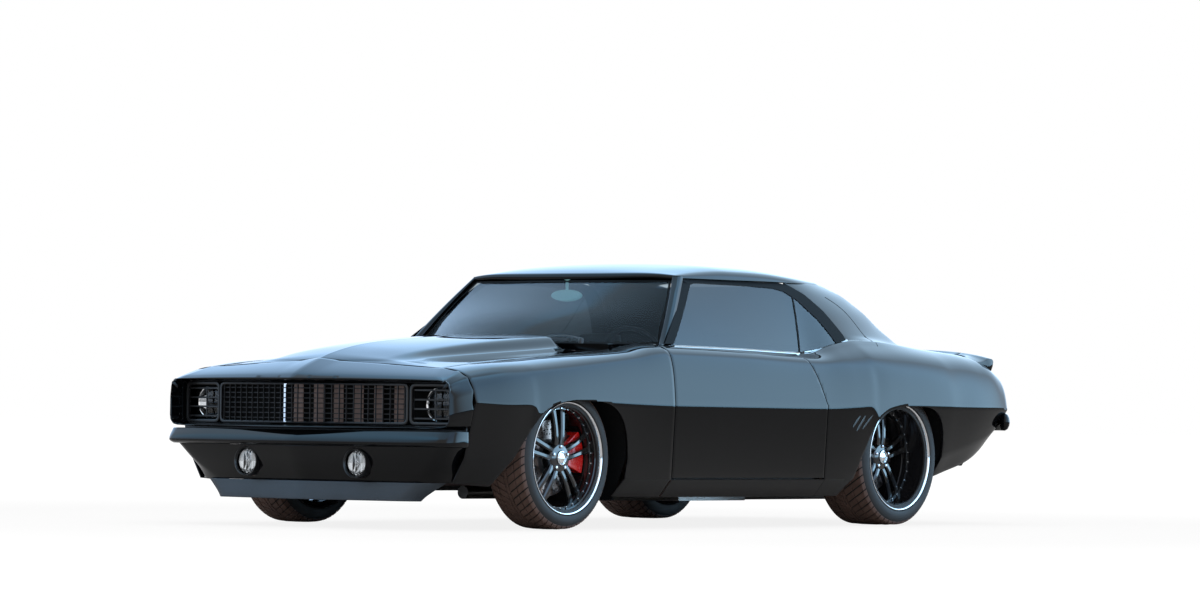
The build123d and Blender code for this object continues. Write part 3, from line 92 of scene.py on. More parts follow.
# Level sections of the sail panel: height, then y and x of its front and rear edges.
SAILS = [
    (880, 1060, 780, 1796, 600), (962, 985, 745, 1622, 590), (1080, 885, 692, 1440, 560),
    (1160, 785, 645, 1300, 528), (RAIL_Z, 650, 622, 1130, 505),
]
# Roof sections: y, height at the middle, then x and z of the crown's quarter, shoulder and rail.
ROOFS = [
    (-352, 1232, 380, 1226, 590, 1217, 625, 1210), (-262, 1255, 400, 1246, 592, 1228, 630, 1211),
    (-60, 1284, 420, 1272, 596, 1246, 634, 1212), (200, 1298, 430, 1285, 598, 1257, 636, 1213),
    (480, 1295, 430, 1282, 596, 1255, 634, 1215), (760, 1279, 420, 1267, 575, 1243, 615, 1215),
    (1112, 1240, 390, 1234, 480, 1228, 510, 1215),
]
# Hood sections: y, height at the middle, then x and z of the scoop's edge and foot, and z at the seam.
HOODS = [
    (-2180, 784, 60, 776, 120, 769, 742), (-2100, 810, 300, 786, 420, 772, 746),
    (-1900, 853, 340, 822, 420, 790, 768), (-1500, 892, 350, 868, 425, 818, 802),
    (-1150, 912, 350, 896, 430, 840, 828), (-905, 922, 350, 912, 430, 858, 847),
]
# Deck sections: y, height at the middle, then x and z of the crown's quarter and z at the seam.
DECKS = [
    (1640, 917, 330, 915, 912), (1806, 909, 330, 906, 902), (2060, 897, 330, 894, 888),
    (2200, 888, 330, 884, 875), (2330, 864, 330, 860, 848),
]
# Wheels: axle y, tyre radius, x of the tyre's outer and inner faces, lip radius, depth of the dish.
WHEELS = {"front": (FRONT_AXLE_Y, 334.0, 885.0, 640.0, 264.0, 34.0),
          "rear": (REAR_AXLE_Y, 345.0, 888.0, 582.0, 269.0, 100.0)}
# How far each wheel opening reaches behind its axle.
ARCH_REACH = {"front": 405, "rear": 372}


# ---------------- values a user may change
class CoupeSettings(bpy.types.PropertyGroup):
    """Sizes and colours of the coupe's looks."""

    paint: FloatVectorProperty(name="Paint", description="Colour of the gloss body paint", subtype="COLOR", size=3,
                               default=(0.0025, 0.0030, 0.0042), min=0, max=1)
    caliper: FloatVectorProperty(name="Calipers", description="Colour of the brake calipers", subtype="COLOR", size=3,
                                 default=(0.78, 0.016, 0.012), min=0, max=1)
    tint: FloatVectorProperty(name="Glass tint", description="Colour that the window glass lets through",
                              subtype="COLOR", size=3, default=(0.045, 0.055, 0.062), min=0, max=1)
    floor: FloatVectorProperty(name="Floor", description="Colour of the studio floor", subtype="COLOR", size=3,
                               default=(0.80, 0.80, 0.80), min=0, max=1)
    panel_step: FloatProperty(name="Panel mesh step", description="Spacing of a panel's mesh lines",
                              subtype="DISTANCE",
                              unit="LENGTH", default=0.022, min=0.008, max=0.06)
    tread_blocks: IntProperty(name="Tread pitches", description="Chevron pitches round a tyre", default=54, min=20,
                              max=90)
    lip_bolts: IntProperty(name="Rim bolts", description="Bolts round a rim's barrel", default=30, min=10, max=60)
    mesh_rows: IntProperty(name="Grille rows", description="Level bars of the grille", default=7, min=3, max=12)


def settings():
    """The scene's coupe settings."""
    return bpy.context.scene.coupe


# ---------------- shader expressions
class Wire:
    """A shader socket that can be used in Python expressions on values."""

    def __init__(self, tree, socket):
        self.tree, self.socket = tree, socket

    def _math(self, operation, *values):
        return self.tree.node("ShaderNodeMath", {"operation": operation}, *values)

    def __add__(self, other):
        return self._math("ADD", self, other)

    def __radd__(self, other):
        return self._math("ADD", other, self)

    def __sub__(self, other):
        return self._math("SUBTRACT", self, other)

    def __rsub__(self, other):
        return self._math("SUBTRACT", other, self)

    def __mul__(self, other):
        return self._math("MULTIPLY", self, other)

    def __rmul__(self, other):
        return self._math("MULTIPLY", other, self)

    def __truediv__(self, other):
        return self._math("DIVIDE", self, other)

    def __rtruediv__(self, other):
        return self._math("DIVIDE", other, self)

    def clamp(self, low=0.0, high=1.0):
        """Limits the value to a range."""
        return self._math("MAXIMUM", self._math("MINIMUM", self, high), low)

    def beside(self, output):
        """Another output of the same node."""
        return Wire(self.tree, self.socket.node.outputs[output])


class Tree:
    """The node tree of a new material, or of the lamp or world given."""

    def __init__(self, name, owner=None):
        self.owner = owner or bpy.data.materials.new(name)
        self.owner.use_nodes = True
        self.nodes = self.owner.node_tree.nodes
        self.links = self.owner.node_tree.links
        self.nodes.clear()

    def node(self, kind, options=None, *values, out=0, **named):
        """Adds a node: its settings first, then the values or links of its sockets; returns one output."""
        made = self.nodes.new(kind)
        for key, value in (options or {}).items():
            if key == "stops":
                ramp = made.color_ramp
                while len(ramp.elements) < len(value):
                    ramp.elements.new(0.5)
                for element, (place, colour) in zip(ramp.elements, value):
                    element.position, element.color = place, (*colour, 1)
            else:
                setattr(made, key, value)
        for key, value in [*enumerate(values), *named.items()]:
            socket = made.inputs[key if isinstance(key, int) else key.replace("_", " ")]
            if isinstance(value, Wire):
                self.links.new(value.socket, socket)
            elif value is not None:
                socket.default_value = (*value[:3], 1) if socket.type == "RGBA" else value
        return Wire(self, made.outputs[out])

    def place(self):
        """Object coordinates."""
        return self.node("ShaderNodeTexCoord", out=3)

    def noise(self, scale, detail=3.0, rough=0.5):
        """A noise value over the object, its scale per metre."""
        return self.node("ShaderNodeTexNoise", {}, Vector=self.place(), Scale=scale, Detail=detail,
                         Roughness=rough)

    def mix(self, factor, low, high):
        """Blends two colours."""
        return self.node("ShaderNodeMix", {"data_type": "RGBA"}, factor, *[None] * 5, low, high, out=2)

    def bump(self, height, strength, distance):
        """A bump from a height value."""
        return self.node("ShaderNodeBump", {}, Strength=strength, Distance=distance, Height=height)

    def finish(self, **inputs):
        """Ends the tree in a Principled shader and returns the material."""
        return self.end("ShaderNodeOutputMaterial", self.node("ShaderNodeBsdfPrincipled", {}, **inputs))

    def end(self, kind, shader):
        """Links a shader to an output node and returns what the tree belongs to."""
        self.links.new(shader.socket, self.nodes.new(kind).inputs[0])
        return self.owner


def paint_material():
    """Gloss black paint with a faint orange peel and a little road film low down."""
    t = Tree("gloss_paint")
    height = t.node("ShaderNodeSeparateXYZ", {}, t.place(), out=2)
    film = ((0.32 - height) * 3.0).clamp() * t.noise(9.0)
    colour = t.mix(film, settings().paint, (0.02, 0.018, 0.016))
    rough = 0.035 + film * 0.22
    return t.finish(Base_Color=colour, Roughness=rough, IOR=1.34, Normal=t.bump(t.noise(420.0, 2.0), 0.02, 0.0004))


def plain_material(name, colour, rough, metal=0.0, grain=60.0, grain_depth=0.15, spots=0.25, **more):
    """A finish with uneven colour and a fine grain."""
    t = Tree(name)
    patch = t.noise(7.0, 5.0, 0.6)
    fine = t.noise(grain, 4.0, 0.6)
    dark = tuple(c * (1 - spots) for c in colour)
    light = tuple(min(1, c * (1 + spots)) for c in colour)
    return t.finish(Base_Color=t.mix(patch, dark, light), Roughness=(rough - 0.06) + fine * 0.14, Metallic=metal,
                    Normal=t.bump(fine, grain_depth, 0.002), **more)


def tyre_material(name, clean, dusty):
    """Dull rubber, browner where dust settles; the tread's colours given to it are lightened with painted light."""
    t = Tree(name)
    dust = t.noise(14.0, 5.0, 0.65)
    return t.finish(Base_Color=t.mix(dust, clean, dusty),
                    Roughness=0.62 + dust * 0.2, Normal=t.bump(t.noise(300.0, 3.0), 0.2, 0.001))


def brushed_material(name, colour, rough):
    """Polished metal with a faint turned grain round the X axis."""
    t = Tree(name)
    x = t.node("ShaderNodeSeparateXYZ", {}, t.place())
    lines = t.node("ShaderNodeTexNoise", {}, Vector=t.node("ShaderNodeCombineXYZ", {}, x * 900.0, 0.0, 0.0), Scale=1.0,
                   Detail=2.0)
    return t.finish(Base_Color=t.mix(lines, tuple(c * 0.82 for c in colour), colour), Roughness=rough + lines * 0.08,
                    Metallic=1.0, Normal=t.bump(lines, 0.05, 0.0005))


def glass_material(name, tint, bend=1.35):
    """Tinted glass with a trace of haze."""
    t = Tree(name)
    haze = t.noise(5.0, 3.0)
    return t.finish(Base_Color=t.mix(haze, tuple(c * 0.92 for c in tint), tint), Roughness=0.004 + haze * 0.012,
                    Transmission_Weight=1.0, IOR=bend)


def leather_material():
    """Black leather with a fine pebble grain."""
    t = Tree("seat_leather")
    cells = t.node("ShaderNodeTexVoronoi", {"feature": "DISTANCE_TO_EDGE"}, Vector=t.place(), Scale=260.0)
    wear = t.noise(6.0, 4.0)
    return t.finish(Base_Color=t.mix(wear, (0.012, 0.012, 0.013), (0.03, 0.029, 0.029)), Roughness=0.42 + wear * 0.16,
                    Normal=t.bump(cells, 0.25, 0.0006))


def underbody_material():
    """Primer-brown steel with road dirt."""
    t = Tree("underbody_coat")
    dirt = t.noise(11.0, 6.0, 0.65)
    colour = t.mix(dirt, (0.020, 0.012, 0.010), (0.085, 0.042, 0.030))
    return t.finish(Base_Color=colour, Roughness=0.62 + dirt * 0.25, Normal=t.bump(t.noise(90.0, 5.0), 0.3, 0.002))


def build_materials():
    """Makes every finish once and returns them by name."""
    s = settings()
    return {
        "paint": paint_material(),
        "trim": plain_material("black_trim", (0.008, 0.008, 0.009), 0.34, grain=160.0, grain_depth=0.06),
        "seal": plain_material("window_seal", (0.004, 0.004, 0.004), 0.75, grain=160.0, grain_depth=0.06,
                               Specular_IOR_Level=0.15),
        "satin": plain_material("satin_black", (0.012, 0.012, 0.013), 0.30, grain=220.0, grain_depth=0.08),
        "slat": plain_material("grille_slat", (0.20, 0.13, 0.105), 0.42, 0.35, grain=120.0, spots=0.4),
        "chin": plain_material("chin_plastic", (0.035, 0.047, 0.062), 0.55, grain=180.0, grain_depth=0.12),
        "under": underbody_material(),
        "cast": plain_material("cast_iron", (0.075, 0.065, 0.06), 0.6, 0.6, grain=140.0, grain_depth=0.35),
        "steel": plain_material("worn_steel", (0.34, 0.33, 0.32), 0.32, 1.0, grain=90.0, spots=0.3),
        "disc": brushed_material("disc_steel", (0.34, 0.26, 0.23), 0.24),
        "barrel": plain_material("barrel_gloss", (0.012, 0.012, 0.014), 0.10, grain=120.0, grain_depth=0.02),
        "chrome": plain_material("chrome_plate", (0.86, 0.87, 0.88), 0.07, 1.0, grain=40.0, grain_depth=0.01,
                                 spots=0.04),
        "lip": brushed_material("polished_lip", (0.90, 0.90, 0.91), 0.04),
        "spoke": plain_material("spoke_gloss", (0.010, 0.010, 0.011), 0.12, grain=120.0, grain_depth=0.02,
                                Coat_Weight=0.5, Coat_Roughness=0.03),
        "caliper": plain_material("caliper_red", tuple(s.caliper), 0.26, grain=150.0, grain_depth=0.1, spots=0.12,
                                  Coat_Weight=0.4, Coat_Roughness=0.08),
        "tyre": tyre_material("tyre_rubber", (0.010, 0.0095, 0.009), (0.034, 0.029, 0.026)),
        # The tread's dust brown is lightened as painted light, standing in for light that the wheel arch's shade keeps
        # off it.
        "tread": tyre_material("tread_rubber_painted_lift", (0.085, 0.050, 0.038), (0.19, 0.112, 0.086)),
        "glass": glass_material("tinted_glass", tuple(s.tint)),
        "lens": glass_material("clear_lens", (0.93, 0.95, 0.97)),
        "red_lens": glass_material("red_lens", (0.65, 0.02, 0.02)),
        "leather": leather_material(),
        "dash": plain_material("dash_vinyl", (0.016, 0.016, 0.017), 0.5, grain=260.0, grain_depth=0.25),
        # The inside mirror's back is painted light: its pale cyan colour and its emission stand in for light that the
        # glass keeps out of the cabin.
        "mirror_back_painted_glow": plain_material("mirror_back_painted_glow", (0.50, 0.80, 0.80), 0.4, grain=200.0, spots=0.08,
                                      Emission_Color=(0.25, 0.5, 0.5), Emission_Strength=0.5),
        "screen": glass_material("windshield_glass", tuple(min(1, c * 8) for c in s.tint), 1.2),
        "mirror": plain_material("mirror_glass", (0.80, 0.84, 0.85), 0.05, 1.0, grain=20.0, grain_depth=0.0,
                                 spots=0.02),
    }


MATERIALS = {}


# ---------------- numbers to curves
def slopes(xs, ys):
    """Tangents of a curve through points that never overshoots them."""
    xs, ys = np.asarray(xs, float), np.asarray(ys, float)
    steps = np.diff(xs)
    rise = np.diff(ys, axis=0) / steps.reshape(-1, *([1] * (ys.ndim - 1)))
    tangent = np.zeros_like(ys)
    tangent[0], tangent[-1] = rise[0], rise[-1]
    before, after = rise[:-1], rise[1:]
    same = before * after > 0
    mean = (before + after) / 2
    limit = 3 * np.minimum(abs(before), abs(after))
    tangent[1:-1] = np.where(same, np.sign(mean) * np.minimum(abs(mean), limit), 0)
    return tangent


def cubic(t, a, b, from_a, to_b):
    """Places on a cubic from a to b, with its tangents at both ends."""
    return ((2 * t**3 - 3 * t**2 + 1) * a + (t**3 - 2 * t**2 + t) * from_a + (3 * t**2 - 2 * t**3) * b
            + (t**3 - t**2) * to_b)


def bend(t, a, b, c):
    """A place on the bend from a to c that b pulls at."""
    return (1 - t) ** 2 * a + 2 * t * (1 - t) * b + t * t * c


def unit(vector):
    """A vector brought to length one."""
    return vector / np.linalg.norm(vector)


def read_off(line, at, by=1):
    """The x of a line of points (x, z) at a height, or its height at an x where by is 0."""
    line = np.asarray(line)
    order = np.argsort(line[:, by])
    return float(np.interp(at, line[order, by], line[order, 1 - by]))


def curve(xs, ys, at):
    """Smooth values at the places given, through the points given."""
    xs, ys, at = np.asarray(xs, float), np.asarray(ys, float), np.atleast_1d(np.asarray(at, float))
    tangent = slopes(xs, ys)
    index = np.clip(np.searchsorted(xs, at, side="right") - 1, 0, len(xs) - 2)
    span = xs[index + 1] - xs[index]
    t = (at - xs[index]) / span
    shape = (-1, *([1] * (ys.ndim - 1)))
    t, span = t.reshape(shape), span.reshape(shape)
    y0, y1, m0, m1 = ys[index], ys[index + 1], tangent[index] * span, tangent[index + 1] * span
    return cubic(t, y0, y1, m0, m1)


def values_at(table, y):
    """Smooth values of a table whose rows start with y."""
    return curve([row[0] for row in table], [row[1:] for row in table], y)[0]


def through(points, counts):
    """A rounded line through points (x, z): counts gives the steps in each span; a count below 0 makes the span's
    far end a crease."""
    points = np.asarray(points, float)
    line, start = [points[0]], 0
    runs = []
    for i, count in enumerate(counts):
        if count < 0 or i == len(counts) - 1:
            runs.append((start, i + 1))
            start = i + 1
    for low, high in runs:
        part = points[low:high + 1]
        if len(part) == 2:
            tangent = np.array([part[1] - part[0]] * 2)
        else:
            tangent = np.zeros_like(part)
            tangent[1:-1] = (part[2:] - part[:-2]) / 2
            tangent[0] = 1.5 * (part[1] - part[0]) - tangent[1] / 2
            tangent[-1] = 1.5 * (part[-1] - part[-2]) - tangent[-2] / 2
        for k in range(low, high):
            a, b = part[k - low], part[k - low + 1]
            length = np.linalg.norm(b - a)
            ta, tb = tangent[k - low], tangent[k - low + 1]
            ta = ta / (np.linalg.norm(ta) or 1) * length
            tb = tb / (np.linalg.norm(tb) or 1) * length
            for j in range(1, abs(counts[k]) + 1):
                t = j / abs(counts[k])
                line.append(cubic(t, a, b, ta, tb))
    return np.array(line)


def stops(start, end, step):
    """Places from start to end, about a step apart."""
    count = max(1, round((end - start) / step))
    return np.array([start + (end - start) * i / count for i in range(count + 1)])


# ---------------- meshes
class Form:
    """A mesh being gathered, in millimetres: points, faces and each face's finish."""

    def __init__(self):
        self.points, self.faces, self.finishes = [], [], []

    def add(self, points, faces, finish=0, flip=False):
        """Adds points and faces, with the faces turned over if asked."""
        base = len(self.points)
        self.points += [tuple(p) for p in points]
        self.faces += [tuple(base + i for i in (face[::-1] if flip else face)) for face in faces]
        self.finishes += [finish] * len(faces)
        return self

    def grid(self, rows, around=False, flip=False):
        """Adds a sheet of quads through rows of points; around closes each row on itself."""
        rows = np.asarray(rows, float)
        count, across = rows.shape[:2]
        faces = []
        for i in range(count - 1):
            for j in range(across if around else across - 1):
                k = (j + 1) % across
                faces.append((i * across + j, i * across + k, (i + 1) * across + k, (i + 1) * across + j))
        return self.add(rows.reshape(-1, 3), faces, flip=flip)

    def lathe(self, profile, segments):
        """Adds a body turned about the X axis from points (x, radius)."""
        angles = [math.tau * i / segments for i in range(segments)]
        rows = [[(x, r * math.cos(a), r * math.sin(a)) for a in angles] for x, r in profile]
        return self.grid(rows, around=True)

    def block(self, centre, size, finish=0, turn=None, round_by=2.0):
        """Adds a box with chamfered edges."""
        x, y, z = (s / 2 for s in size)
        r = min(round_by, x, y, z)
        hull = bmesh.new()
        for sx, sy, sz in product((-1, 1), repeat=3):
            for px, py, pz in ((x, y - r, z - r), (x - r, y, z - r), (x - r, y - r, z)):
                hull.verts.new((sx * px, sy * py, sz * pz))
        bmesh.ops.convex_hull(hull, input=hull.verts)
        bmesh.ops.dissolve_limit(hull, angle_limit=0.01, verts=hull.verts, edges=hull.edges)
        hull.verts.index_update()
        verts = [v.co.copy() for v in hull.verts]
        faces = [tuple(v.index for v in f.verts) for f in hull.faces]
        hull.free()
        if turn is not None:
            verts = [turn @ v for v in verts]
        offset = Vector(centre)
        return self.add([v + offset for v in verts], faces, finish)

    def moved(self, x=0.0, y=0.0, z=0.0, side=1):
        """A copy moved in place, and mirrored to the right side when side is -1."""
        copy = Form()
        copy.points = [(side * (px + x), py + y, pz + z) for px, py, pz in self.points]
        copy.faces = [face[::-1] for face in self.faces] if side < 0 else list(self.faces)
        copy.finishes = list(self.finishes)
        return copy

    def join(self, *others):
        """Adds other forms."""
        for other in others:
            base = len(self.points)
            self.points += other.points
            self.faces += [tuple(base + i for i in face) for face in other.faces]
            self.finishes += other.finishes
        return self

    def piece(self, name, *finishes, merge=0.05, outward=False):
        """Makes the object, at the origin, with its finishes."""
        mesh = bpy.data.meshes.new(name)
        mesh.from_pydata([(x * MM, y * MM, z * MM) for x, y, z in self.points], [], self.faces)
        made = bpy.data.objects.new(name, mesh)
        bpy.context.scene.collection.objects.link(made)
        for finish in finishes:
            mesh.materials.append(MATERIALS[finish])
        mesh.polygons.foreach_set("material_index", self.finishes)
        shape = bmesh.new()
        shape.from_mesh(mesh)
        bmesh.ops.remove_doubles(shape, verts=shape.verts, dist=merge * MM)
        bmesh.ops.dissolve_degenerate(shape, edges=shape.edges, dist=1e-6)
        if outward:
            bmesh.ops.recalc_face_normals(shape, faces=shape.faces)
        shape.to_mesh(mesh)
        shape.free()
        return made


def evaluated(made):
    """Applies every modifier of a piece to its mesh."""
    bpy.context.view_layer.update()
    graph = bpy.context.evaluated_depsgraph_get()
    mesh = bpy.data.meshes.new_from_object(made.evaluated_get(graph), preserve_all_data_layers=True, depsgraph=graph)
    old = made.data
    made.modifiers.clear()
    made.data = mesh
    mesh.name = made.name
    bpy.data.meshes.remove(old)
    return made


def shade(made, angle=34.0):
    """Smooth shading with edges sharper than the angle kept sharp."""
    shape = bmesh.new()
    shape.from_mesh(made.data)
    for face in shape.faces:
        face.smooth = True
    limit = math.radians(angle)
    for edge in shape.edges:
        edge.smooth = not (len(edge.link_faces) == 2 and edge.calc_face_angle(0) > limit)
    shape.to_mesh(made.data)
    shape.free()
    return made


def outline_prism(name, outline, low, high, axis="X"):
    """A straight-sided cutter: an outline in side view (axis X), front view (axis Y) or plan (axis Z)."""
    form = Form()
    count = len(outline)
    for level in (low, high):
        for a, b in outline:
            form.points.append({"X": (level, a, b), "Y": (a, level, b), "Z": (a, b, level)}[axis])
    form.faces = [tuple(range(count))[::-1], tuple(range(count, 2 * count))]
    form.faces += [(i, (i + 1) % count, count + (i + 1) % count, count + i) for i in range(count)]
    form.finishes = [0] * len(form.faces)
    return form.piece(name, "trim", outward=True)


def cut(made, *cutters, operation="DIFFERENCE"):
    """Cuts a piece with cutters and removes them."""
    for cutter in cutters:
        modifier = made.modifiers.new("cut", "BOOLEAN")
        modifier.operation = operation
        modifier.solver = "EXACT"
        modifier.object = cutter
    evaluated(made)
    for cutter in cutters:
        bpy.data.objects.remove(cutter)
    return made


def face_towards(made, direction):
    """Turns a sheet over where its faces look away from a direction."""
    total = Vector()
    for face in made.data.polygons:
        total += face.normal * face.area
    if total.dot(Vector(direction)) < 0:
        made.data.flip_normals()


def thicken(made, wall, towards=None):
    """Gives a sheet its wall, inwards from the side that looks towards a direction."""
    if towards is not None:
        face_towards(made, towards)
    modifier = made.modifiers.new("wall", "SOLIDIFY")
    modifier.thickness = wall * MM
    modifier.offset = -1.0
    modifier.use_even_offset = True
    modifier.use_quality_normals = True
    return evaluated(made)


def soften(made, width, angle=40.0, segments=2):
    """Rounds a piece's sharp edges."""
    modifier = made.modifiers.new("soft_edge", "BEVEL")
    modifier.width = width * MM
    modifier.segments = segments
    modifier.limit_method = "ANGLE"
    modifier.angle_limit = math.radians(angle)
    modifier.use_clamp_overlap = True
    modifier.harden_normals = False
    return evaluated(made)


def rounded(points, radius, steps=4):
    """A closed outline with its corners rounded; radius is one number or one for each corner."""
    count, line = len(points), []
    radii = radius if isinstance(radius, (list, tuple)) else [radius] * count
    for i in range(count):
        before, corner, after = (np.array(points[(i + k) % count], float) for k in (-1, 0, 1))
        to_before, to_after = before - corner, after - corner
        r = min(radii[i], 0.49 * np.linalg.norm(to_before), 0.49 * np.linalg.norm(to_after))
        if r < 0.5:
            line.append(tuple(corner))
            continue
        a, b = corner + unit(to_before) * r, corner + unit(to_after) * r
        line += [tuple(bend(j / steps, a, corner, b)) for j in range(steps + 1)]
    return line


def box_line(x, z, width, height, radius):
    """A rounded rectangle about a place."""
    w, h = width / 2, height / 2
    return rounded([(x - w, z - h), (x + w, z - h), (x + w, z + h), (x - w, z + h)], radius, 6)


def facing(form, x, y, z, deep=-1.0):
    """Sets a form that stands round X at a place, turned to look along Y; deep scales its length."""
    form.points = [(x + py, y + px * deep, z + pz) for px, py, pz in form.points]
    return form


def add_piece(made, body, slot_name, *nodes):
    """Hands a finished piece to the frame."""
    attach(made, body)
    if nodes:
        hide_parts(*nodes)
    return made


def both_sides(form, name, finishes, body, slot_name, nodes=(), work=None):
    """Makes a left piece and its mirror image; body and nodes hold {side} where the side's name goes."""
    for side, label in BOTH:
        made = form.moved(side=side).piece(name.format(side=label), *finishes)
        if work is not None:
            work(made, side)
        shade(made)
        add_piece(made, body.format(side=label), slot_name, *[n.format(side=label) for n in nodes])


def trimmed(wall, edge, near=500, far=900):
    """Work for both_sides: gives a sheet its wall and trims it to an edge in side view."""
    def work(made, side):
        thicken(made, wall, (side, 0, 0))
        cut(made, outline_prism("edge", edge, side * near, side * far), operation="INTERSECT")
        return made

    return work


def hand_over(form, name, finish, slot_name, *nodes, body="body", outward=True, soft=None):
    """Makes a form of one finish into a piece, rounds its sharp edges if asked, and hands it over."""
    made = form.piece(name, finish, outward=outward)
    if soft:
        soften(made, *soft)
    return add_piece(shade(made), body, slot_name, *nodes)


# ---------------- body sides
def panel_places(start, end):
    """Places from start to end, a panel's mesh step apart."""
    return stops(start, end, settings().panel_step / MM)


def side_row(y):
    """Corner points of the side's section at y: sill, lower side, crease, shoulder, belt and inner edge."""
    row = values_at(SIDES, y).reshape(-1, 2)
    row[2][1] += float(np.interp(y, *zip(*CREASE_DIPS)))
    return row


def side_lines(y):
    """The side's rounded section at y, from the sill to the inner edge."""
    return through(side_row(y), [-5, -14, 9, 7, 7])


def wheel_arch(end, side):
    """Cutter for a wheel opening."""
    axle_y, reach, low = WHEELS[end][0], ARCH_REACH[end], 100.0
    front, crown, top = (np.array((axle_y + y, z)) for y, z in ((-290, 520.0), (-215, 600.0), (-20, 602.0)))
    line = [(axle_y - 545, low), *[tuple(bend(t, front, crown, top)) for t in np.linspace(0, 1, 12)]]
    a, b, c, d = (np.array((axle_y + y, z), float) for y, z in ((120, 602), (reach - 75, 602), (reach - 12, 500),
                                                                (reach, 330)))
    for t in np.linspace(0, 1, 22):
        line.append(tuple((1 - t) ** 3 * a + 3 * t * (1 - t) ** 2 * b + 3 * t * t * (1 - t) * c + t**3 * d))
    return outline_prism("arch", [*line, (axle_y + reach - 30, low)], side * 600, side * 1000)


def fenders():
    """Front fenders with their wheel openings."""
    rows = [[(x, y, z) for x, z in side_lines(y)] for y in panel_places(NOSE_SEAM_Y, A_POST_Y - GAP / 2)]
    form = Form().grid(rows, flip=True)

    def work(made, side):
        thicken(made, 6, (side, 0, 0))
        cut(made, wheel_arch("front", side))
        soften(made, 0.8)

    both_sides(form, "fender_skin_{side}", ["paint"], "body", "body_paint", ["fender_{side}"], work)


def sail_x(level, y):
    """Outside of the sail panel at one of its levels."""
    front_y, front_x, rear_y, rear_x = SAILS[level][1:]
    t = max(-0.7, min(1.3, (y - front_y) / (rear_y - front_y)))
    return front_x + (rear_x - front_x) * t + 20 * 4 * t * (1 - t) * 0.9


def quarter_lines(y):
    """The quarter's section at y, from the sill up over the hip and the sail panel to the roof rail."""
    row = side_row(y)
    foot_z = row[4][1] + 6
    foot_x = min(row[4][0] - 16, sail_x(0, y) - 4)
    points = [*row[:5], (foot_x, foot_z)]
    points += [(min(sail_x(level, y), foot_x - 8 - level), SAILS[level][0]) for level in range(1, 4)]
    points.append((sail_x(4, y), RAIL_Z))
    return through(points, [-5, -14, 9, 7, 6, 8, 9, 7, 5])


QUARTER_EDGE = [
    (B_POST_LOW_Y + GAP / 2, 100), (2301, 100), (2301, 850), (1810, 905), (1796, 912), (1700, 925), (1622, 966),
    (1440, 1082), (1300, 1161), (1130, 1214.8), (650, 1214.8), (785, 1160), (885, 1080), (975, 972), (1000, 945),
    (985, 932), (940, 922), (863, 909), (560, 857), (B_POST_TOP_Y + 9, 857), (B_POST_TOP_Y + GAP / 2, 840),
    (B_POST_LOW_Y + GAP / 2, CREASE_Z),
]


def quarters():
    """Rear quarters that flow up over the hips into the sail panels."""
    rows = [[(x, y, z) for x, z in quarter_lines(y)] for y in panel_places(B_POST_TOP_Y, TAIL_Y)]
    form = Form().grid(rows, flip=True)
    radii = [0, 0, 0, 30, 0, 60, 120, 160, 150, 0, 0, 40, 60, 30, 16, 16, 40, 80, 0, 0, 0, 0]
    trim = trimmed(14, rounded(QUARTER_EDGE, radii), 380, 1000)

    def work(made, side):
        trim(made, side)
        cut(made, wheel_arch("rear", side))
        soften(made, 0.8)

    both_sides(form, "quarter_skin_{side}", ["paint"], "body", "body_paint", ["quarter_{side}"], work)


def doors():
    """Doors as thick as the real ones, with pockets for their hinges."""
    outer, inner = [], []
    for y in panel_places(A_POST_Y + 1, B_POST_LOW_Y + 8):
        row = values_at(SIDES, y).reshape(-1, 2)
        belt = row[4]
        lower = np.array([np.interp(SILL_TOP + 6, [row[1][1], row[2][1]], [row[1][0], row[2][0]]), SILL_TOP + 6])
        line = through([lower, row[2], row[3], belt, (belt[0] - 46, belt[1])], [-14, 9, 7, 3])
        back = [(belt[0] - 46, belt[1] - 6), (row[3][0] - 62, row[3][1] - 24), (row[2][0] - 64, row[2][1] + 40),
                (row[2][0] - 64, row[2][1]), (row[2][0] - 62, 420), (lower[0] - 52, lower[1] + 20),
                (lower[0] - 30, lower[1])]
        outer.append([(x, y, z) for x, z in line])
        inner.append([(x, y, z) for x, z in back])
    rows = [[*o, *i] for o, i in zip(outer, inner)]
    form = Form().grid(rows, around=True, flip=True)
    cap = [tuple(range(len(rows[0])))]
    form.add(rows[0], cap).add(rows[-1], cap, flip=True)

    def work(made, side):
        edge = [(A_POST_Y + GAP / 2, 200), (B_POST_LOW_Y - GAP / 2, 200), (B_POST_LOW_Y - GAP / 2, CREASE_Z),
                (B_POST_TOP_Y - GAP / 2, 840), (B_POST_TOP_Y + 12, 852), (B_POST_TOP_Y + 30, 900),
                (A_POST_Y + GAP / 2, 900)]
        edge = rounded(edge, [0, 14, 0, 0, 0, 0, 0])
        cut(made, outline_prism("edge", edge, side * 700, side * 1000), operation="INTERSECT")
        pocket = [(side * 740, -672), (side * 909, -672), (side * 909, -539), (side * 740, -539)]
        cut(made, *[outline_prism("pocket", pocket, height - 25, height + 25, "Z") for height in DOOR_HINGE_Z])
        soften(made, 0.8)

    both_sides(form, "door_skin_{side}", ["paint"], "door_{side}", "body_paint", ["door_{side}"], work)


def door_fittings():
    """Hinge pins and inner cards of the doors."""
    pins = Form()
    for height in DOOR_HINGE_Z:
        pins.block((0, 0, height), (11, 11, 50), round_by=3)
    both_sides(pins.moved(x=895, y=-561.5), "door_pins_{side}", ["steel"], "door_{side}", "steel")
    cards = Form()
    cards.block((851, -40, 470), (16, 1010, 330), round_by=8)
    cards.block((836, 20, 560), (34, 420, 46), round_by=14)
    cards.block((834, -250, 640), (22, 130, 16), finish=1, round_by=6)
    both_sides(cards, "door_card_{side}", ["dash", "chrome"], "door_{side}", "trim")


# ---------------- side glass and its bands
def glass_x(y, z):
    """Outside of the side glass."""
    row = values_at(SIDES, y)
    low_x, low_z = row[8] - 16, row[9]
    t = (z - low_z) / (1206 - low_z)
    return low_x + (622 - low_x) * t + 9 * 4 * t * (1 - t)


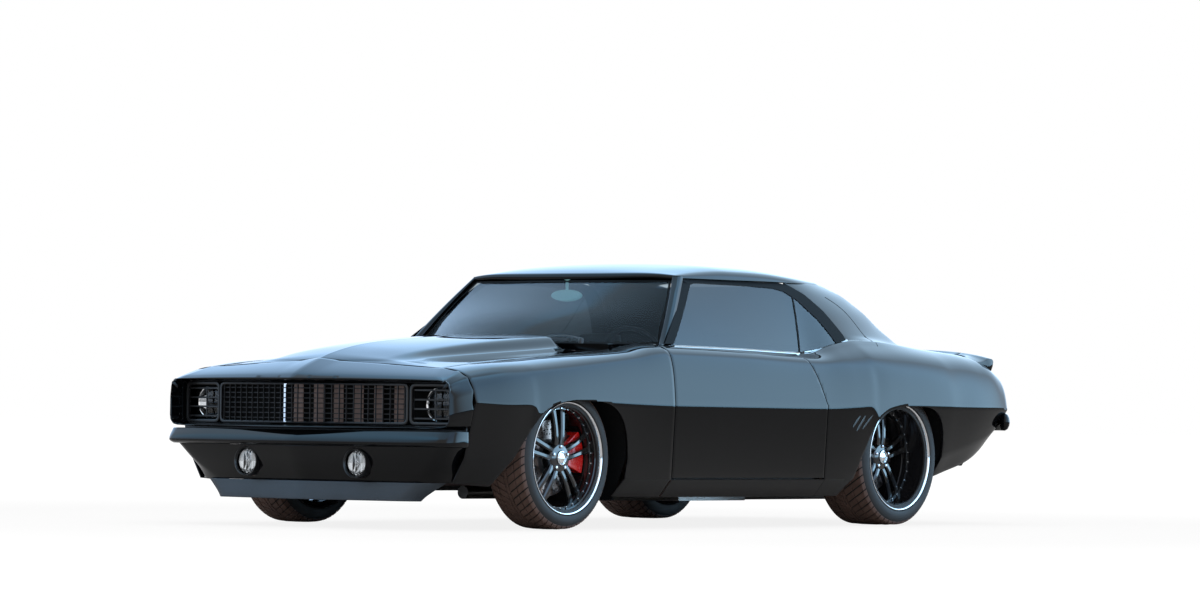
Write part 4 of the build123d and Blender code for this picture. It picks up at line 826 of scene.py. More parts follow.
def glass_sheet(low_y, high_y, low_z, high_z, shift=0.0):
    """A sheet that follows the side glass."""
    rows = []
    for y in stops(low_y, high_y, 40):
        rows.append([(glass_x(y, z) + shift, y, z) for z in np.linspace(low_z, high_z, 14)])
    return Form().grid(rows, flip=True)


def side_glass():
    """Door glass, quarter glass and the black bands over them."""
    door = [(-560, 868), (-545, 884), (-150, 1200), (-120, 1204), (616, 1200), (676, 1150), (558, 858.4)]
    both_sides(glass_sheet(-600, 760, 850, 1206), "door_pane_{side}", ["glass"], "door_{side}", "tinted_glass",
               ["door_glass_{side}"], trimmed(5, rounded(door, [0, 0, 60, 60, 40, 20, 0])))
    quarter = [(566, 862), (683, 1146), (745, 1100), (900, 960), (925, 922), (880, 912), (700, 880)]
    both_sides(glass_sheet(520, 1000, 850, 1180), "quarter_pane_{side}", ["glass"], "body", "tinted_glass",
               ["quarter_glass"], trimmed(5, rounded(quarter, [10, 14, 20, 60, 14, 10, 0])))
    band = [(-250, 1212.5), (600, 1212.5), (690, 1200), (790, 1156), (890, 1077), (990, 960), (1004, 932),
            (930, 906), (896, 922), (880, 948), (810, 1034), (698, 1130), (620, 1168), (540, 1182), (270, 1188),
            (-120, 1190), (-160, 1180)]
    both_sides(glass_sheet(-300, 1010, 890, 1214, shift=3), "window_band_{side}", ["seal"], "body", "trim",
               work=trimmed(9, band))


def glass_trims():
    """Divider, pillar seal, quarter lip and belt strip of the side glass."""
    divider = []
    for z in np.linspace(866, 1150, 12):
        y = 562 + (z - 858) / (1148 - 858) * 117.5
        x = glass_x(y, z)
        divider.append([(x - 3, y - 4, z), (x + 3.5, y - 4, z), (x + 3.5, y + 5, z), (x - 3, y + 5, z)])
    both_sides(sweep_bar(divider), "glass_divider_{side}", ["seal"], "body", "trim")
    strip = []
    for z in np.linspace(884, 1215, 14):
        y = -545 + (z - 884) / 316 * 395
        x = glass_x(y, z)
        strip.append([(x - 9, y - 46, z), (x - 2, y - 46, z), (x + 4.5, y + 12, z), (x - 9, y + 12, z)])
    both_sides(sweep_bar(strip), "pillar_seal_{side}", ["seal"], "body", "trim")
    edge = []
    for t in np.linspace(0, 1, 12):
        y, z = 604 + (1016 - 604) * t, 866 + (934 - 866) * t**1.3
        x = glass_x(y, z) + 5
        edge.append([(x - 6, y, z - 3), (x + 1, y, z - 3), (x + 2, y, z + 3), (x - 6, y, z + 4)])
    both_sides(sweep_bar(edge), "quarter_lip_{side}", ["chrome"], "body", "steel")
    belt = []
    for y in stops(-548, 545, 40):
        row = values_at(SIDES, y)
        x, z = row[8], row[9]
        belt.append([(x - 2, y, z - 1), (x - 1, y, z + 4), (x - 8, y, z + 7), (x - 15, y, z + 5), (x - 15, y, z - 1)])
    form = Form().grid(belt, around=True, flip=True)
    both_sides(form, "belt_strip_{side}", ["chrome"], "door_{side}", "steel")


# ---------------- roof, pillars, windshield surround
def roof_lines(y):
    """The roof's section at y, from rail to rail."""
    row = values_at(ROOFS, y)
    centre, mid_x, mid_z, sh_x, sh_z, rail_x, rail_z = row
    half = [(rail_x, rail_z), (sh_x, sh_z), (mid_x, mid_z)]
    points = [*half, (0, centre), *[(-x, z) for x, z in half[::-1]]]
    return through(points, [6, 6, 12, 12, 6, 6])


def sweep_bar(stations):
    """A bar through closed outlines of equal counts, capped at both ends."""
    cap = [tuple(range(len(stations[0])))]
    return Form().grid(stations, around=True).add(stations[0], cap).add(stations[-1], cap, flip=True)


def slab(line, low, high, thick=4.0):
    """A thin closed sheet along a line (y, z), from x low to the x in high at each of its points."""
    line, high = np.asarray(line, float), np.broadcast_to(high, len(line))
    run = np.gradient(line, axis=0)
    run /= np.linalg.norm(run, axis=1)[:, None]
    back = line + thick * np.stack([-run[:, 1], run[:, 0]], axis=1)
    stations = []
    for (y, z), (y2, z2), x in zip(line, back, high):
        stations.append([(low, y, z), (x, y, z), (x, y2, z2), (low, y2, z2)])
    return sweep_bar(stations)


def liners():
    """Splash guards behind the wheels, the drops beside the trunk and the closers behind the nose's corners."""
    form = Form()
    for end, low in (("front", 138), ("rear", 280)):
        axle_y, radius = WHEELS[end][:2]
        reach = ARCH_REACH[end] + 6
        line = [(axle_y + reach + 2, low)]
        for angle in np.radians(np.linspace(0, 60, 13)):
            line.append((axle_y + reach * math.cos(angle), radius + reach * math.sin(angle)))
        high = [np.interp(z, side_row(y)[:4, 1], side_row(y)[:4, 0]) - 15 for y, z in line]
        form.join(slab(line, 566, high))
    line, high = [], []
    for y in np.linspace(1700, 2290, 12):
        sill = side_row(y)[0]
        line.append((y, sill[1] + 30))
        high.append(sill[0] + 4)
    form.join(slab(line, 552, high))
    corner = [(690, 228), (768, 228), (826, 330), (842, 420), (690, 420)]
    form.join(sweep_bar([[(x, y, z) for x, z in corner] for y in (-2092, -2086)]))
    both_sides(form, "splash_guards_{side}", ["seal"], "body", "underbody")


def roof():
    """Roof skin with its front pillars and header."""
    rows, front_y, length = [], -352, 1480
    for t in stops(0, 1, settings().panel_step / MM / length):
        base = front_y + length * t
        row = []
        for j, (x, z) in enumerate(roof_lines(base)):
            bow = (1 - t) * 98 * (x / 668) ** 2 - t * 34 * (x / 560) ** 2
            x, z = roof_lines(base + bow)[j]
            row.append((x, base + bow, z))
        rows.append(row)
    lip = []
    for drop, ahead in ((29, 4.0), (16, 6.0), (6, 4.6), (2, 2.4)):
        lip.append([(x, y - ahead, z - drop * (1 - 0.3 * (x / 630) ** 2)) for x, y, z in rows[0]])
    made = thicken(Form().grid(lip + rows).piece("roof_skin", "paint"), 9, (0, 0, 1))
    add_piece(shade(soften(made, 1.6)), "body", "body_paint", "roof")
    stations = []
    for t in np.linspace(0, 1, 9):
        z = 881 + (1222 - 881) * t
        bow = 10 * 4 * t * (1 - t)
        base = np.array(((753, -562), (772, -583), (790, -580), (799, -556), (792, -528), (770, -508)), float)
        top = np.array(((612, -268), (624, -268), (634, -258), (640, -238), (636, -205), (616, -195)), float)
        ring = base + (top - base) * t + np.array((bow * 0.8, -bow * 0.5))
        stations.append([(x, y, z) for x, y in ring])
    both_sides(sweep_bar(stations), "front_pillar_{side}", ["paint"], "body", "body_paint",
               work=lambda made, side: soften(made, 4, 30, 3))


def pane_rows(levels, steps=18):
    """Rows of a bowed pane; a level gives height, half width, and y at the corner and in the middle."""
    table = np.array(levels, float)
    low, high = levels[0][0], levels[-1][0]
    across = [-1, -0.984, *np.linspace(-0.95, 0.95, 2 * steps - 1), 0.984, 1]
    rows = []
    for z in [low, low + 10, *np.linspace(low + 25, high - 20, 11), high - 7, high]:
        corner_x, corner_y, middle_y = curve(table[:, 0], table[:, 1:], z)[0]
        rows.append([(corner_x * t, middle_y + (corner_y - middle_y) * t * t, z) for t in across])
    return rows


def framed_pane(rows, names, finish, node, look, flip=False):
    """A pane, and the black border one cell wide that stands 1 mm over its edges."""
    made = thicken(Form().grid(rows, flip=flip).piece(names[0], finish), 6, look)
    add_piece(shade(made), "body", "tinted_glass", node)
    rows = np.array([row[::-1] for row in rows] if flip else rows, float)
    normals = np.cross(np.gradient(rows, axis=1), np.gradient(rows, axis=0))
    rows = rows + normals / np.linalg.norm(normals, axis=2, keepdims=True)
    form = Form()
    for strip in (rows[:, :2], rows[:, -2:], rows[:2], rows[-2:]):
        form.grid(strip)
    add_piece(shade(thicken(form.piece(names[1], "seal"), 2, look)), "body", "trim")


def glass_frames():
    """Windshield and rear window with black borders."""
    shield = pane_rows([(881, 745, -534, -835), (1000, 700, -450, -690), (1100, 660, -360, -520),
                        (1198, 606, -270, -358)])
    framed_pane(shield, ("windshield_pane", "windshield_border"), "screen", "windshield", (0, -1, 1))
    window = pane_rows([(908.2, 556, 1640, 1732), (1000, 530, 1490, 1590), (1100, 500, 1330, 1420),
                        (1208, 462, 1130, 1166)])
    framed_pane(window, ("rear_pane", "rear_window_border"), "glass", "rear_window", (0, 1, 1), flip=True)


# ---------------- hood, cowl, deck
def hood_lines(y):
    """The hood's section at y, from seam to seam."""
    centre, scoop_x, scoop_z, foot_x, foot_z, seam_z = values_at(HOODS, y)
    half = through([(HOOD_X, seam_z), (foot_x, foot_z), (scoop_x, scoop_z), (5, centre - 0.6), (0, centre)],
                   [9, 7, -14, 1])
    mirrored = [(-x, z) for x, z in half[-2::-1]]
    return [*half, *mirrored]


def lid_hinges(pin_y, pin_z, edge_y):
    """Cutters for a lid's two hinge notches."""
    low_y, high_y = sorted((pin_y + (pin_y - edge_y) * 0.6, edge_y + (edge_y - pin_y) * 0.5))
    return [outline_prism("notch", [(x - 20, low_y), (x + 20, low_y), (x + 20, high_y), (x - 20, high_y)],
                          pin_z - 46, pin_z + 8, "Z") for x in (-LID_HINGE_X, LID_HINGE_X)]


def hinge_pins(name, body, pin_y, pin_z):
    """A lid's two hinge pins."""
    form = Form()
    for x in (-LID_HINGE_X, LID_HINGE_X):
        form.block((x, pin_y, pin_z), (42, 5.6, 5.6), round_by=1.5)
    hand_over(form, name, "steel", "steel", body=body, outward=False)


def hood():
    """Hood with its raised scoop and the ridge from the nose."""
    rows = [[(x, y, z) for x, z in hood_lines(y)] for y in panel_places(-2180, COWL_Y)]
    made = thicken(Form().grid(rows).piece("hood_skin", "paint"), 16, (0, 0, 1))
    plan = [(0, -2172), (HOOD_X, -2138), (HOOD_X, COWL_Y), (-HOOD_X, COWL_Y), (-HOOD_X, -2138)]
    cut(made, outline_prism("plan", plan, 500, 1100, "Z"), operation="INTERSECT")
    pin = (-927, 839)
    cut(made, *lid_hinges(*pin, COWL_Y))
    add_piece(shade(soften(made, 1.6)), "hood", "body_paint", "hood")
    hinge_pins("hood_pins", "hood", *pin)


def deck():
    """Deck lid, filler panel and tail spoiler."""
    def sheet(start, end, half):
        rows = []
        for y in stops(start, end, 24):
            centre, mid_x, mid_z, edge_z = values_at(DECKS, y)
            line = through([(half, edge_z), (mid_x, mid_z), (0, centre), (-mid_x, mid_z), (-half, edge_z)],
                           [8, 8, 8, 8])
            rows.append([(x, y, z) for x, z in line])
        return Form().grid(rows)

    made = thicken(sheet(DECK_FRONT_Y, DECK_REAR_Y, DECK_X).piece("deck_skin", "paint"), 18, (0, 0, 1))
    pin = (1828, 888)
    cut(made, *lid_hinges(*pin, DECK_FRONT_Y))
    add_piece(shade(soften(made, 1.6)), "deck_lid", "body_paint", "deck_lid")
    hinge_pins("deck_pins", "deck_lid", *pin)
    made = thicken(sheet(1738, 1793, 558).piece("deck_filler_skin", "paint"), 14, (0, 0, 1))
    add_piece(shade(soften(made, 1.6)), "body", "body_paint", "deck_filler")
    add_piece(spoiler_bar(-612, 612, 41, "tail_spoiler"), "deck_lid", "body_paint", "rear_spoiler")
    for side, label in BOTH:
        add_piece(spoiler_bar(side * 618, side * SPOILER_X, 15, f"spoiler_end_{label}"), "body", "body_paint")


def rear_top(x, y):
    """Height of the deck or quarter at a place near the tail."""
    if abs(x) < DECK_X + 2:
        centre, mid_x, mid_z, edge_z = values_at(DECKS, y)
        return float(np.interp(abs(x), [0, mid_x, DECK_X], [centre, mid_z, edge_z]))
    line = side_lines(min(y, TAIL_Y - 1))
    return read_off(line[np.argmax(line[:, 0]):], abs(x), 0)


def spoiler_bar(low_x, high_x, count, name):
    """Part of the tail spoiler between two places across the car: it stands on the surface below it."""
    stations = []
    for x in np.linspace(low_x, high_x, count):
        across = abs(x) / SPOILER_X
        top = 913 - 26 * across**2 - 25 * across**6
        start = 2190 - 60 * across**4
        tip = 2331 - 31 * across**3
        ys = np.linspace(start, tip - 44, 9)
        base = [rear_top(x, y) for y in ys]
        low = min(base[-1], 884) if abs(x) < DECK_X + 2 else rear_top(x, TAIL_Y)
        upper = [(y, max(b + 1.2, b + (top - b) * min(1, (k / 8)) ** 1.1)) for k, (y, b) in enumerate(zip(ys, base))]
        lower = [(y, b - 3.0) for y, b in zip(ys, base)]
        nose = [(tip - 16, top - 2), (tip - 4, top - 8), (tip, top - 18), (tip - 6, max(low, top - 42)),
                (tip - 30, low - 2)]
        stations.append([(x, y, z) for y, z in [*upper, *nose, *lower[::-1]]])
    return shade(soften(sweep_bar(stations).piece(name, "paint", outward=True), 1.5, 50), 45)


def cowl():
    """Vent slots and wipers on the cowl."""
    slots = Form().block((0, 0, 0), (26, 5, 2.2), round_by=1).moved(x=-600, y=-868, z=841.5)
    slots = repeat_line(slots.piece("cowl_slots", "trim"), 41, (30, 0, 0), "trim")
    add_piece(shade(slots), "body", "trim")
    form = Form()
    pivot_y, reach = -776, 46
    for pivot_x, tip_x in ((450, 30), (-160, -560)):
        pivot = Form().lathe([(0, 0.1), (0, 13), (20, 12), (26, 8), (27, 0.1)], 20)
        pivot.points = [(pivot_x - pz, pivot_y + py, 882 + px) for px, py, pz in pivot.points]
        form.join(pivot)
        arm = []
        for t in np.linspace(0, 1, 9):
            x, y = pivot_x + (tip_x - pivot_x) * t * 0.62, pivot_y - reach * t
            z = 902 + 14 * math.sin(math.pi * min(1, t * 1.2)) + 4 * t
            w = 9 - 4 * t
            arm.append([(x, y - w, z), (x, y - w * 0.5, z + 5), (x, y + w * 0.5, z + 5), (x, y + w, z)])
        form.join(sweep_bar(arm))
        blade = []
        for t in np.linspace(0, 1, 15):
            x = pivot_x - 40 + (tip_x - pivot_x) * t
            y = pivot_y - reach + reach * abs(pivot_x - 40 - x) ** 2 * 1e-6 - 4
            z = 893 + 4 * math.sin(math.pi * t)
            blade.append([(x, y - 4, z), (x, y - 2, z + 14), (x, y + 3, z + 14), (x, y + 5, z)])
        form.join(sweep_bar(blade))
    hand_over(form, "wiper_arms", "satin", "trim", "wipers")


# ---------------- repeated shapes
def geometry_tree(name, ring):
    """A tree that repeats the geometry it is given: round the X axis, or along a line."""
    tree = bpy.data.node_groups.new(name, "GeometryNodeTree")
    sockets = [("Geometry", "NodeSocketGeometry"), ("Count", "NodeSocketInt"), ("Finish", "NodeSocketMaterial")]
    sockets.append(("Turn", "NodeSocketFloat") if ring else ("Step", "NodeSocketVector"))
    for label, kind in sockets:
        tree.interface.new_socket(name=label, in_out="INPUT", socket_type=kind)
    tree.interface.new_socket(name="Geometry", in_out="OUTPUT", socket_type="NodeSocketGeometry")
    new, link = tree.nodes.new, tree.links.new
    given, result = new("NodeGroupInput"), new("NodeGroupOutput")
    line = new("GeometryNodeMeshLine")
    link(given.outputs["Count"], line.inputs["Count"])
    line.inputs["Offset"].default_value = (0, 0, 0)
    single = new("GeometryNodeGeometryToInstance")
    link(given.outputs["Geometry"], single.inputs[0])
    spread = new("GeometryNodeInstanceOnPoints")
    link(line.outputs[0], spread.inputs["Points"])
    link(single.outputs[0], spread.inputs["Instance"])
    if ring:
        index, times, angle = new("GeometryNodeInputIndex"), new("ShaderNodeMath"), new("ShaderNodeCombineXYZ")
        times.operation = "MULTIPLY"
        link(index.outputs[0], times.inputs[0])
        link(given.outputs["Turn"], times.inputs[1])
        link(times.outputs[0], angle.inputs[0])
        link(angle.outputs[0], spread.inputs["Rotation"])
    else:
        link(given.outputs["Step"], line.inputs["Offset"])
    real, finish = new("GeometryNodeRealizeInstances"), new("GeometryNodeSetMaterial")
    link(spread.outputs[0], real.inputs[0])
    link(real.outputs[0], finish.inputs[0])
    link(given.outputs["Finish"], finish.inputs["Material"])
    link(finish.outputs[0], result.inputs[0])
    return tree


TREES = {}


def repeat(made, ring, count, amount, finish):
    """Repeats a piece's mesh and makes the result plain."""
    if ring not in TREES:
        TREES[ring] = geometry_tree("repeat_round" if ring else "repeat_along", ring)
    tree = TREES[ring]
    modifier = made.modifiers.new("repeat", "NODES")
    modifier.node_group = tree
    sockets = {item.name: item.identifier for item in tree.interface.items_tree if item.in_out == "INPUT"}
    modifier[sockets["Count"]] = count
    modifier[sockets["Finish"]] = MATERIALS[finish]
    modifier[sockets["Turn" if ring else "Step"]] = amount
    return evaluated(made)


def repeat_line(made, count, step, finish):
    """Repeats a piece along a line; step in millimetres."""
    return repeat(made, False, count, tuple(v * MM for v in step), finish)


def repeat_ring(made, count, finish):
    """Repeats a piece round the X axis."""
    return repeat(made, True, count, math.tau / count, finish)


# ---------------- nose
def mouth_y(x):
    """Front of the nose's vee at x."""
    return -2379 + 112 * abs(x) / 846


def rake(x):
    """How far the grille's vee runs back by x."""
    return 110 * abs(x) / 820


def grille_y(x):
    """Front of the grille at x."""
    return -2292 + rake(x)


def hood_z(x, y):
    """Height of the hood's surface."""
    return read_off(hood_lines(y), x, 0)


def header_outline():
    """Right half of the header from the top middle down: points of the mouth's rim, and the seam behind each."""
    inner = [(0, 682), (120, 682), (670, 682), (798, 681), (825, 677), (840, 664), (846, 643), (847, 590), (846, 508),
             (840, 487), (825, 474), (798, 470), (670, 470), (0, 470)]
    side, seam_y = side_lines(NOSE_SEAM_Y), NOSE_SEAM_Y - 3
    crown = [(x, -2178 + 34 * x / HOOD_X, hood_z(x, -2170)) for x in (0, 120, 600, 692)]
    flank = []
    for z in (744, 728, 700, 640, 545, 505, 478):
        part = side[side[:, 1] >= 560] if z > 560 else side[side[:, 1] < 700]
        flank.append((read_off(part, z), seam_y, z))
    low = [(845, seam_y, 460), (640, seam_y, 456), (0, seam_y, 455)]
    outer = np.array([*crown, *flank, *low], float)
    counts = [6, 16, 6, 4, 4, 4, 4, 6, 4, 4, 4, 6, 16]
    places = np.concatenate([*[np.linspace(i, i + 1, n, endpoint=False) for i, n in enumerate(counts)], [13.0]])
    keys = np.hstack([np.array(inner, float), outer])
    return np.array([[np.interp(p, range(14), keys[:, k]) for k in range(5)] for p in places])


def header():
    """The header: a rolled frame round the mouth, from the vee of the nose back to hood and fenders."""
    right = header_outline()
    around = np.vstack([right, right[-2:0:-1] * np.array((-1, 1, -1, 1, 1))])
    rows = []
    for ox, oz, ex, seam, ez in around:
        front = mouth_y(ox)
        out = np.array((ex - ox, ez - oz))
        reach = np.linalg.norm(out)
        aim = out / reach
        edge = min(9.0, reach * 0.5)
        deep = (ox * 0.972, grille_y(ox) + 6, GRILLE_Z + (oz - GRILLE_Z) * 0.96)
        column = [deep, tuple(np.array(deep) * 0.4 + np.array((ox, front + 9, oz)) * 0.6), (ox, front + 9, oz)]
        for a in np.linspace(0, math.pi / 2, 5)[1:]:
            d = edge * (1 - math.cos(a))
            column.append((ox + aim[0] * d, front + 9 - 9 * math.sin(a) + 1.5 * (1 - math.cos(a)), oz + aim[1] * d))
        for t in np.linspace(0, 1, 13)[1:]:
            d = edge + (reach - edge) * t ** 0.72
            column.append((ox + aim[0] * d, front + 1.5 + (seam - front - 1.5) * t, oz + aim[1] * d))
        rows.append(column)
    made = Form().grid(np.array(rows).transpose(1, 0, 2), around=True).piece("header_skin", "paint")
    add_piece(shade(soften(thicken(made, 5, (0, -1, 0)), 1.2, 50)), "body", "body_paint", "header_panel")


def vee_bar(low_x, high_x, z, height, depth, back, side):
    """A level bar that follows one half of the vee."""
    stations = []
    for x in (low_x, high_x):
        y = grille_y(x) + back
        r = min(1.2, height / 3)
        stations.append([(side * x, y, z - height / 2 + r), (side * x, y + r, z - height / 2),
                         (side * x, y + depth, z - height / 2), (side * x, y + depth, z + height / 2),
                         (side * x, y + r, z + height / 2), (side * x, y, z + height / 2 - r)])
    return sweep_bar(stations)


def ring_frame(outer, inner, y_of, depth):
    """A flat frame between two closed outlines of equal counts, front and back."""
    loops = []
    for line, front in ((outer, 0), (inner, 0), (inner, depth), (outer, depth), (outer, 0)):
        loops.append([(x, y_of(x) + front, z) for x, z in line])
    return Form().grid(loops, around=True)


def grille():
    """Grille: frames, level bars by rows, upright blades, and the bright centre strip."""
    rows, height = settings().mesh_rows, 186.0
    frames = Form()
    for x, outer, inner, ahead, depth in (
            (0, (1644, 206, 38), (1626, 196, 34), 0, 14), (0, (1150, 190, 30), (1126, 168, 22), 10, 22),
            (-HEAD_LAMP_X, (236, 190, 30), (212, 164, 22), 8, 22),
            (HEAD_LAMP_X, (236, 190, 30), (212, 164, 22), 8, 22)):
        frames.join(ring_frame(box_line(x, GRILLE_Z, *outer), box_line(x, GRILLE_Z, *inner),
                               lambda x: grille_y(x) - ahead, depth))
    hand_over(frames, "grille_frame", "satin", "satin_black", "grille", soft=(1.5, 30))
    pitch = height / (rows + 1)
    for side, label in BOTH:
        bar = vee_bar(2, 566, GRILLE_Z - height / 2 + pitch, 4.5, 10, 2, side)
        bars = bar.piece(f"grille_bars_{label}", "satin", outward=True)
        add_piece(shade(repeat_line(bars, rows, (0, 0, pitch), "satin")), "body", "satin_black")
    blade, step = Form().block((38, -2286, GRILLE_Z), (2.6, 9, 172), round_by=1), 39.5
    for side, label in BOTH:
        made = blade.moved(side=side).piece(f"grille_uprights_{label}", "satin")
        add_piece(shade(repeat_line(made, 14, (side * step, rake(step), 0), "satin")), "body", "satin_black")
    fin, step = Form().block((-52, -2262, GRILLE_Z), (58, 5, 176), round_by=2).piece("cooler_fins", "slat"), 109
    add_piece(shade(repeat_line(fin, 6, (step, rake(step), 0), "slat")), "body", "steel")
    strip = Form().block((-136, -2262, GRILLE_Z), (17, 8, 184), round_by=3)
    hand_over(strip, "grille_strip", "chrome", "steel", outward=False)
    back = Form().join(*[vee_bar(0, 816, GRILLE_Z, 200, 3, 66, side) for side in (-1, 1)])
    hand_over(back, "grille_back", "seal", "trim")


def lamps():
    """Hidden head lamps behind slotted doors, and fog lamps."""
    form = Form()
    for side in (-1, 1):
        for dz in (-65, -21.25, 21.25, 65):
            form.join(vee_bar(596, 802, GRILLE_Z + dz, 9, 34, 4, side))
        form.block((side * HEAD_LAMP_X, -2176, GRILLE_Z), (8, 8, 150), round_by=2)
    hand_over(form, "lamp_shutters", "satin", "satin_black", "lamp_doors", outward=False)
    bowl, lens = Form(), Form()
    for side in (-1, 1):
        dish = Form().lathe([(-30, 0.1), (-22, 30), (0, 62), (22, 76), (24, 80), (-30, 82), (-66, 70), (-66, 0.1)], 40)
        glass = Form().lathe([(24, 74), (30, 50), (33, 0.1), (29, 0.1), (26, 50), (20, 74)], 40)
        for source, target in ((dish, bowl), (glass, lens)):
            target.join(facing(source, side * HEAD_LAMP_X, -2132, GRILLE_Z, -0.6))
    hand_over(bowl, "head_lamp_bowls", "chrome", "lamp_clear", "head_lamps")
    hand_over(lens, "head_lamp_lenses", "lens", "tinted_glass")
    bezel, bowl, lens, face = Form(), Form(), Form(), -2300
    for side in (-1, 1):
        rim = Form().lathe([(2, 60), (10, 62), (14, 66), (12, 69), (0, 69.5), (-50, 68), (-50, 56), (-6, 57)], 48)
        dish = Form().lathe([(-8, 56), (-14, 52), (-28, 34), (-34, 12), (-34, 0.1), (-46, 0.1), (-46, 54)], 48)
        glass = Form().lathe([(-6, 57), (0, 50), (4, 30), (6, 0.1), (3, 0.1), (1, 30), (-3, 50), (-9, 56)], 48)
        for source, target in ((rim, bezel), (dish, bowl), (glass, lens)):
            target.join(facing(source, side * FOG_X, face, FOG_Z))
        for i in range(5):
            bowl.block((side * FOG_X - 32 + 16 * i, face + 20, FOG_Z), (3, 16, 92), round_by=1)
        bowl.block((side * FOG_X, face + 10, FOG_Z), (16, 20, 16), round_by=6)
    hand_over(bezel, "fog_bezels", "satin", "satin_black", "fog_lamps")
    hand_over(bowl, "fog_bowls", "chrome", "lamp_clear")
    hand_over(lens, "fog_lenses", "lens", "tinted_glass")


def band_bar(name, finish, levels, wall, steps=14):
    """A wall through plan outlines: height, then points of the left half from the middle out."""
    heights = [z for z, _ in levels]
    lines = []
    for _, points in levels:
        half = through(points, [14, *[7] * (len(points) - 2)])
        lines.append(np.vstack([half[::-1] * (-1, 1), half[1:]]))
    outer = np.array([curve(heights, np.array(lines), z)[0] for z in np.linspace(heights[0], heights[-1], steps)])
    along = np.gradient(outer, axis=1)
    along /= np.linalg.norm(along, axis=2, keepdims=True)
    hand = 1 if lines[0][0][1] < 0 else -1
    inner = outer + np.stack([-along[:, :, 1], along[:, :, 0]], axis=2) * wall * hand
    levels_z = np.linspace(heights[0], heights[-1], steps)
    stations = []
    for j in range(outer.shape[1]):
        loop = [(*outer[i, j], levels_z[i]) for i in range(steps)]
        loop += [(*inner[i, j], levels_z[i]) for i in range(steps - 1, -1, -1)]
        stations.append(loop)
    made = sweep_bar(stations).piece(name, finish, outward=True)
    return shade(soften(made, min(2.0, wall * 0.3), 50), 50)


def front_bumper():
    """Body-colour front bumper, and the shelf and brackets behind it."""
    made = band_bar("front_bumper_skin", "paint", [
        (380, [(0, -2356), (480, -2320), (788, -2276), (848, -2238), (864, -2143)]),
        (388, [(0, -2376), (480, -2338), (800, -2292), (858, -2248), (868, -2143)]),
        (398, [(0, -2384), (480, -2345), (806, -2298), (862, -2252), (869, -2143)]),
        (412, [(0, -2380), (480, -2341), (804, -2295), (862, -2250), (869, -2143)]),
        (452, [(0, -2346), (480, -2310), (798, -2268), (856, -2234), (867, -2143)]),
    ], 8, 16)
    add_piece(made, "body", "body_paint", "front_bumper")
    shelf = Form()
    for side in (-1, 1):
        shelf.block((side * 435, -2200, 412), (30, 236, 40), round_by=4)
    right = [(480, -2302), (790, -2260), (848, -2228), (858, -2150)]
    line = [(0, -2336), *right, *[(-x, y) for x, y in right[::-1]]]
    for z in (449.5, 384):
        shelf.join(sweep_bar([[(x, y, z + d) for x, y in line] for d in (0, 3)]))
    shelf.join(sweep_bar([[(x, y, z) for y, z in ((-2150, 386), (-2144, 386), (-2144, 474), (-2150, 474))]
                          for x in (-860, 0, 860)]))
    hand_over(shelf, "bumper_brackets", "trim", "trim")


def front_valance():
    """Front valance with its fog lamp bores, and the chin spoiler below it."""
    made = band_bar("front_valance_skin", "paint", [
        (216, [(0, -2290), (560, -2215), (690, -2172), (762, -2120)]),
        (300, [(0, -2330), (700, -2235), (762, -2190), (788, -2120)]),
        (379.6, [(0, -2345), (770, -2262), (826, -2222), (838, -2120)]),
    ], 6)
    bores = []
    for side in (-1, 1):
        circle = [(side * FOG_X + 70.5 * math.cos(a), FOG_Z + 70.5 * math.sin(a))
                  for a in np.linspace(0, math.tau, 48, endpoint=False)]
        bores.append(outline_prism("bore", circle, -2400, -2100, "Y"))
    cut(made, *bores)
    add_piece(shade(made), "body", "body_paint", "front_valance")
    made = band_bar("chin_skin", "chin", [
        (130, [(0, -2312), (520, -2235), (580, -2205), (600, -2150)]),
        (150, [(0, -2310), (535, -2232), (600, -2196), (620, -2142)]),
        (215.6, [(0, -2300), (600, -2212), (690, -2160), (712, -2105)]),
    ], 12)
    add_piece(made, "body", "chin_plastic", "chin_spoiler")


def rear_bumper():
    """Body-colour rear bumper, swept round the corners, and the rear valance."""
    path = through([(0, 2352), (780, 2344), (852, 2316), (880, 2288), (884, 2262)], [14, 8, 8, 6])
    path = np.vstack([path[::-1] * (-1, 1), path[1:]])
    section = np.array([(-16, 489), (6, 486), (20, 495), (28, 512), (31, 532), (28, 552), (20, 569), (6, 578),
                        (-16, 575)], float)
    stations = []
    for k, (x, y) in enumerate(path):
        along = path[min(k + 1, len(path) - 1)] - path[max(k - 1, 0)]
        along /= np.linalg.norm(along)
        full = {0: 0.35, 1: 0.72, 2: 0.92}.get(min(k, len(path) - 1 - k), 1.0)
        shape = (section - (4, 532)) * full + (4, 532)
        stations.append([(x - along[1] * d, y + along[0] * d, z) for d, z in shape])
    made = sweep_bar(stations).piece("rear_bumper_skin", "paint", outward=True)
    add_piece(shade(soften(made, 1.5, 40), 60), "body", "body_paint", "rear_bumper")
    made = band_bar("rear_valance_skin", "paint", [
        (300, [(0, 2200), (680, 2172), (716, 2140), (718, 2120)]),
        (400, [(0, 2262), (720, 2232), (752, 2200), (754, 2180)]),
        (480, [(0, 2310), (740, 2300), (758, 2280), (760, 2240)]),
        (559.7, [(0, 2312), (740, 2302), (758, 2281), (760, 2240)]),
    ], 8)
    add_piece(made, "body", "body_paint", "rear_valance")


def rockers():
    """Painted sills between the wheel openings."""
    section = [(777, 149), (850.5, 149.4), (856, 153), (919.4, 231), (919.6, 234.6), (905, 237), (888, 237),
               (886, 256), (882, 256), (880, 237), (777, 237)]
    stations = []
    for y in stops(A_POST_Y + 1, B_POST_LOW_Y + 2, 60):
        stations.append([(x, y, z) for x, z in section])
    both_sides(sweep_bar(stations), "rocker_skin_{side}", ["paint"], "body", "body_paint")


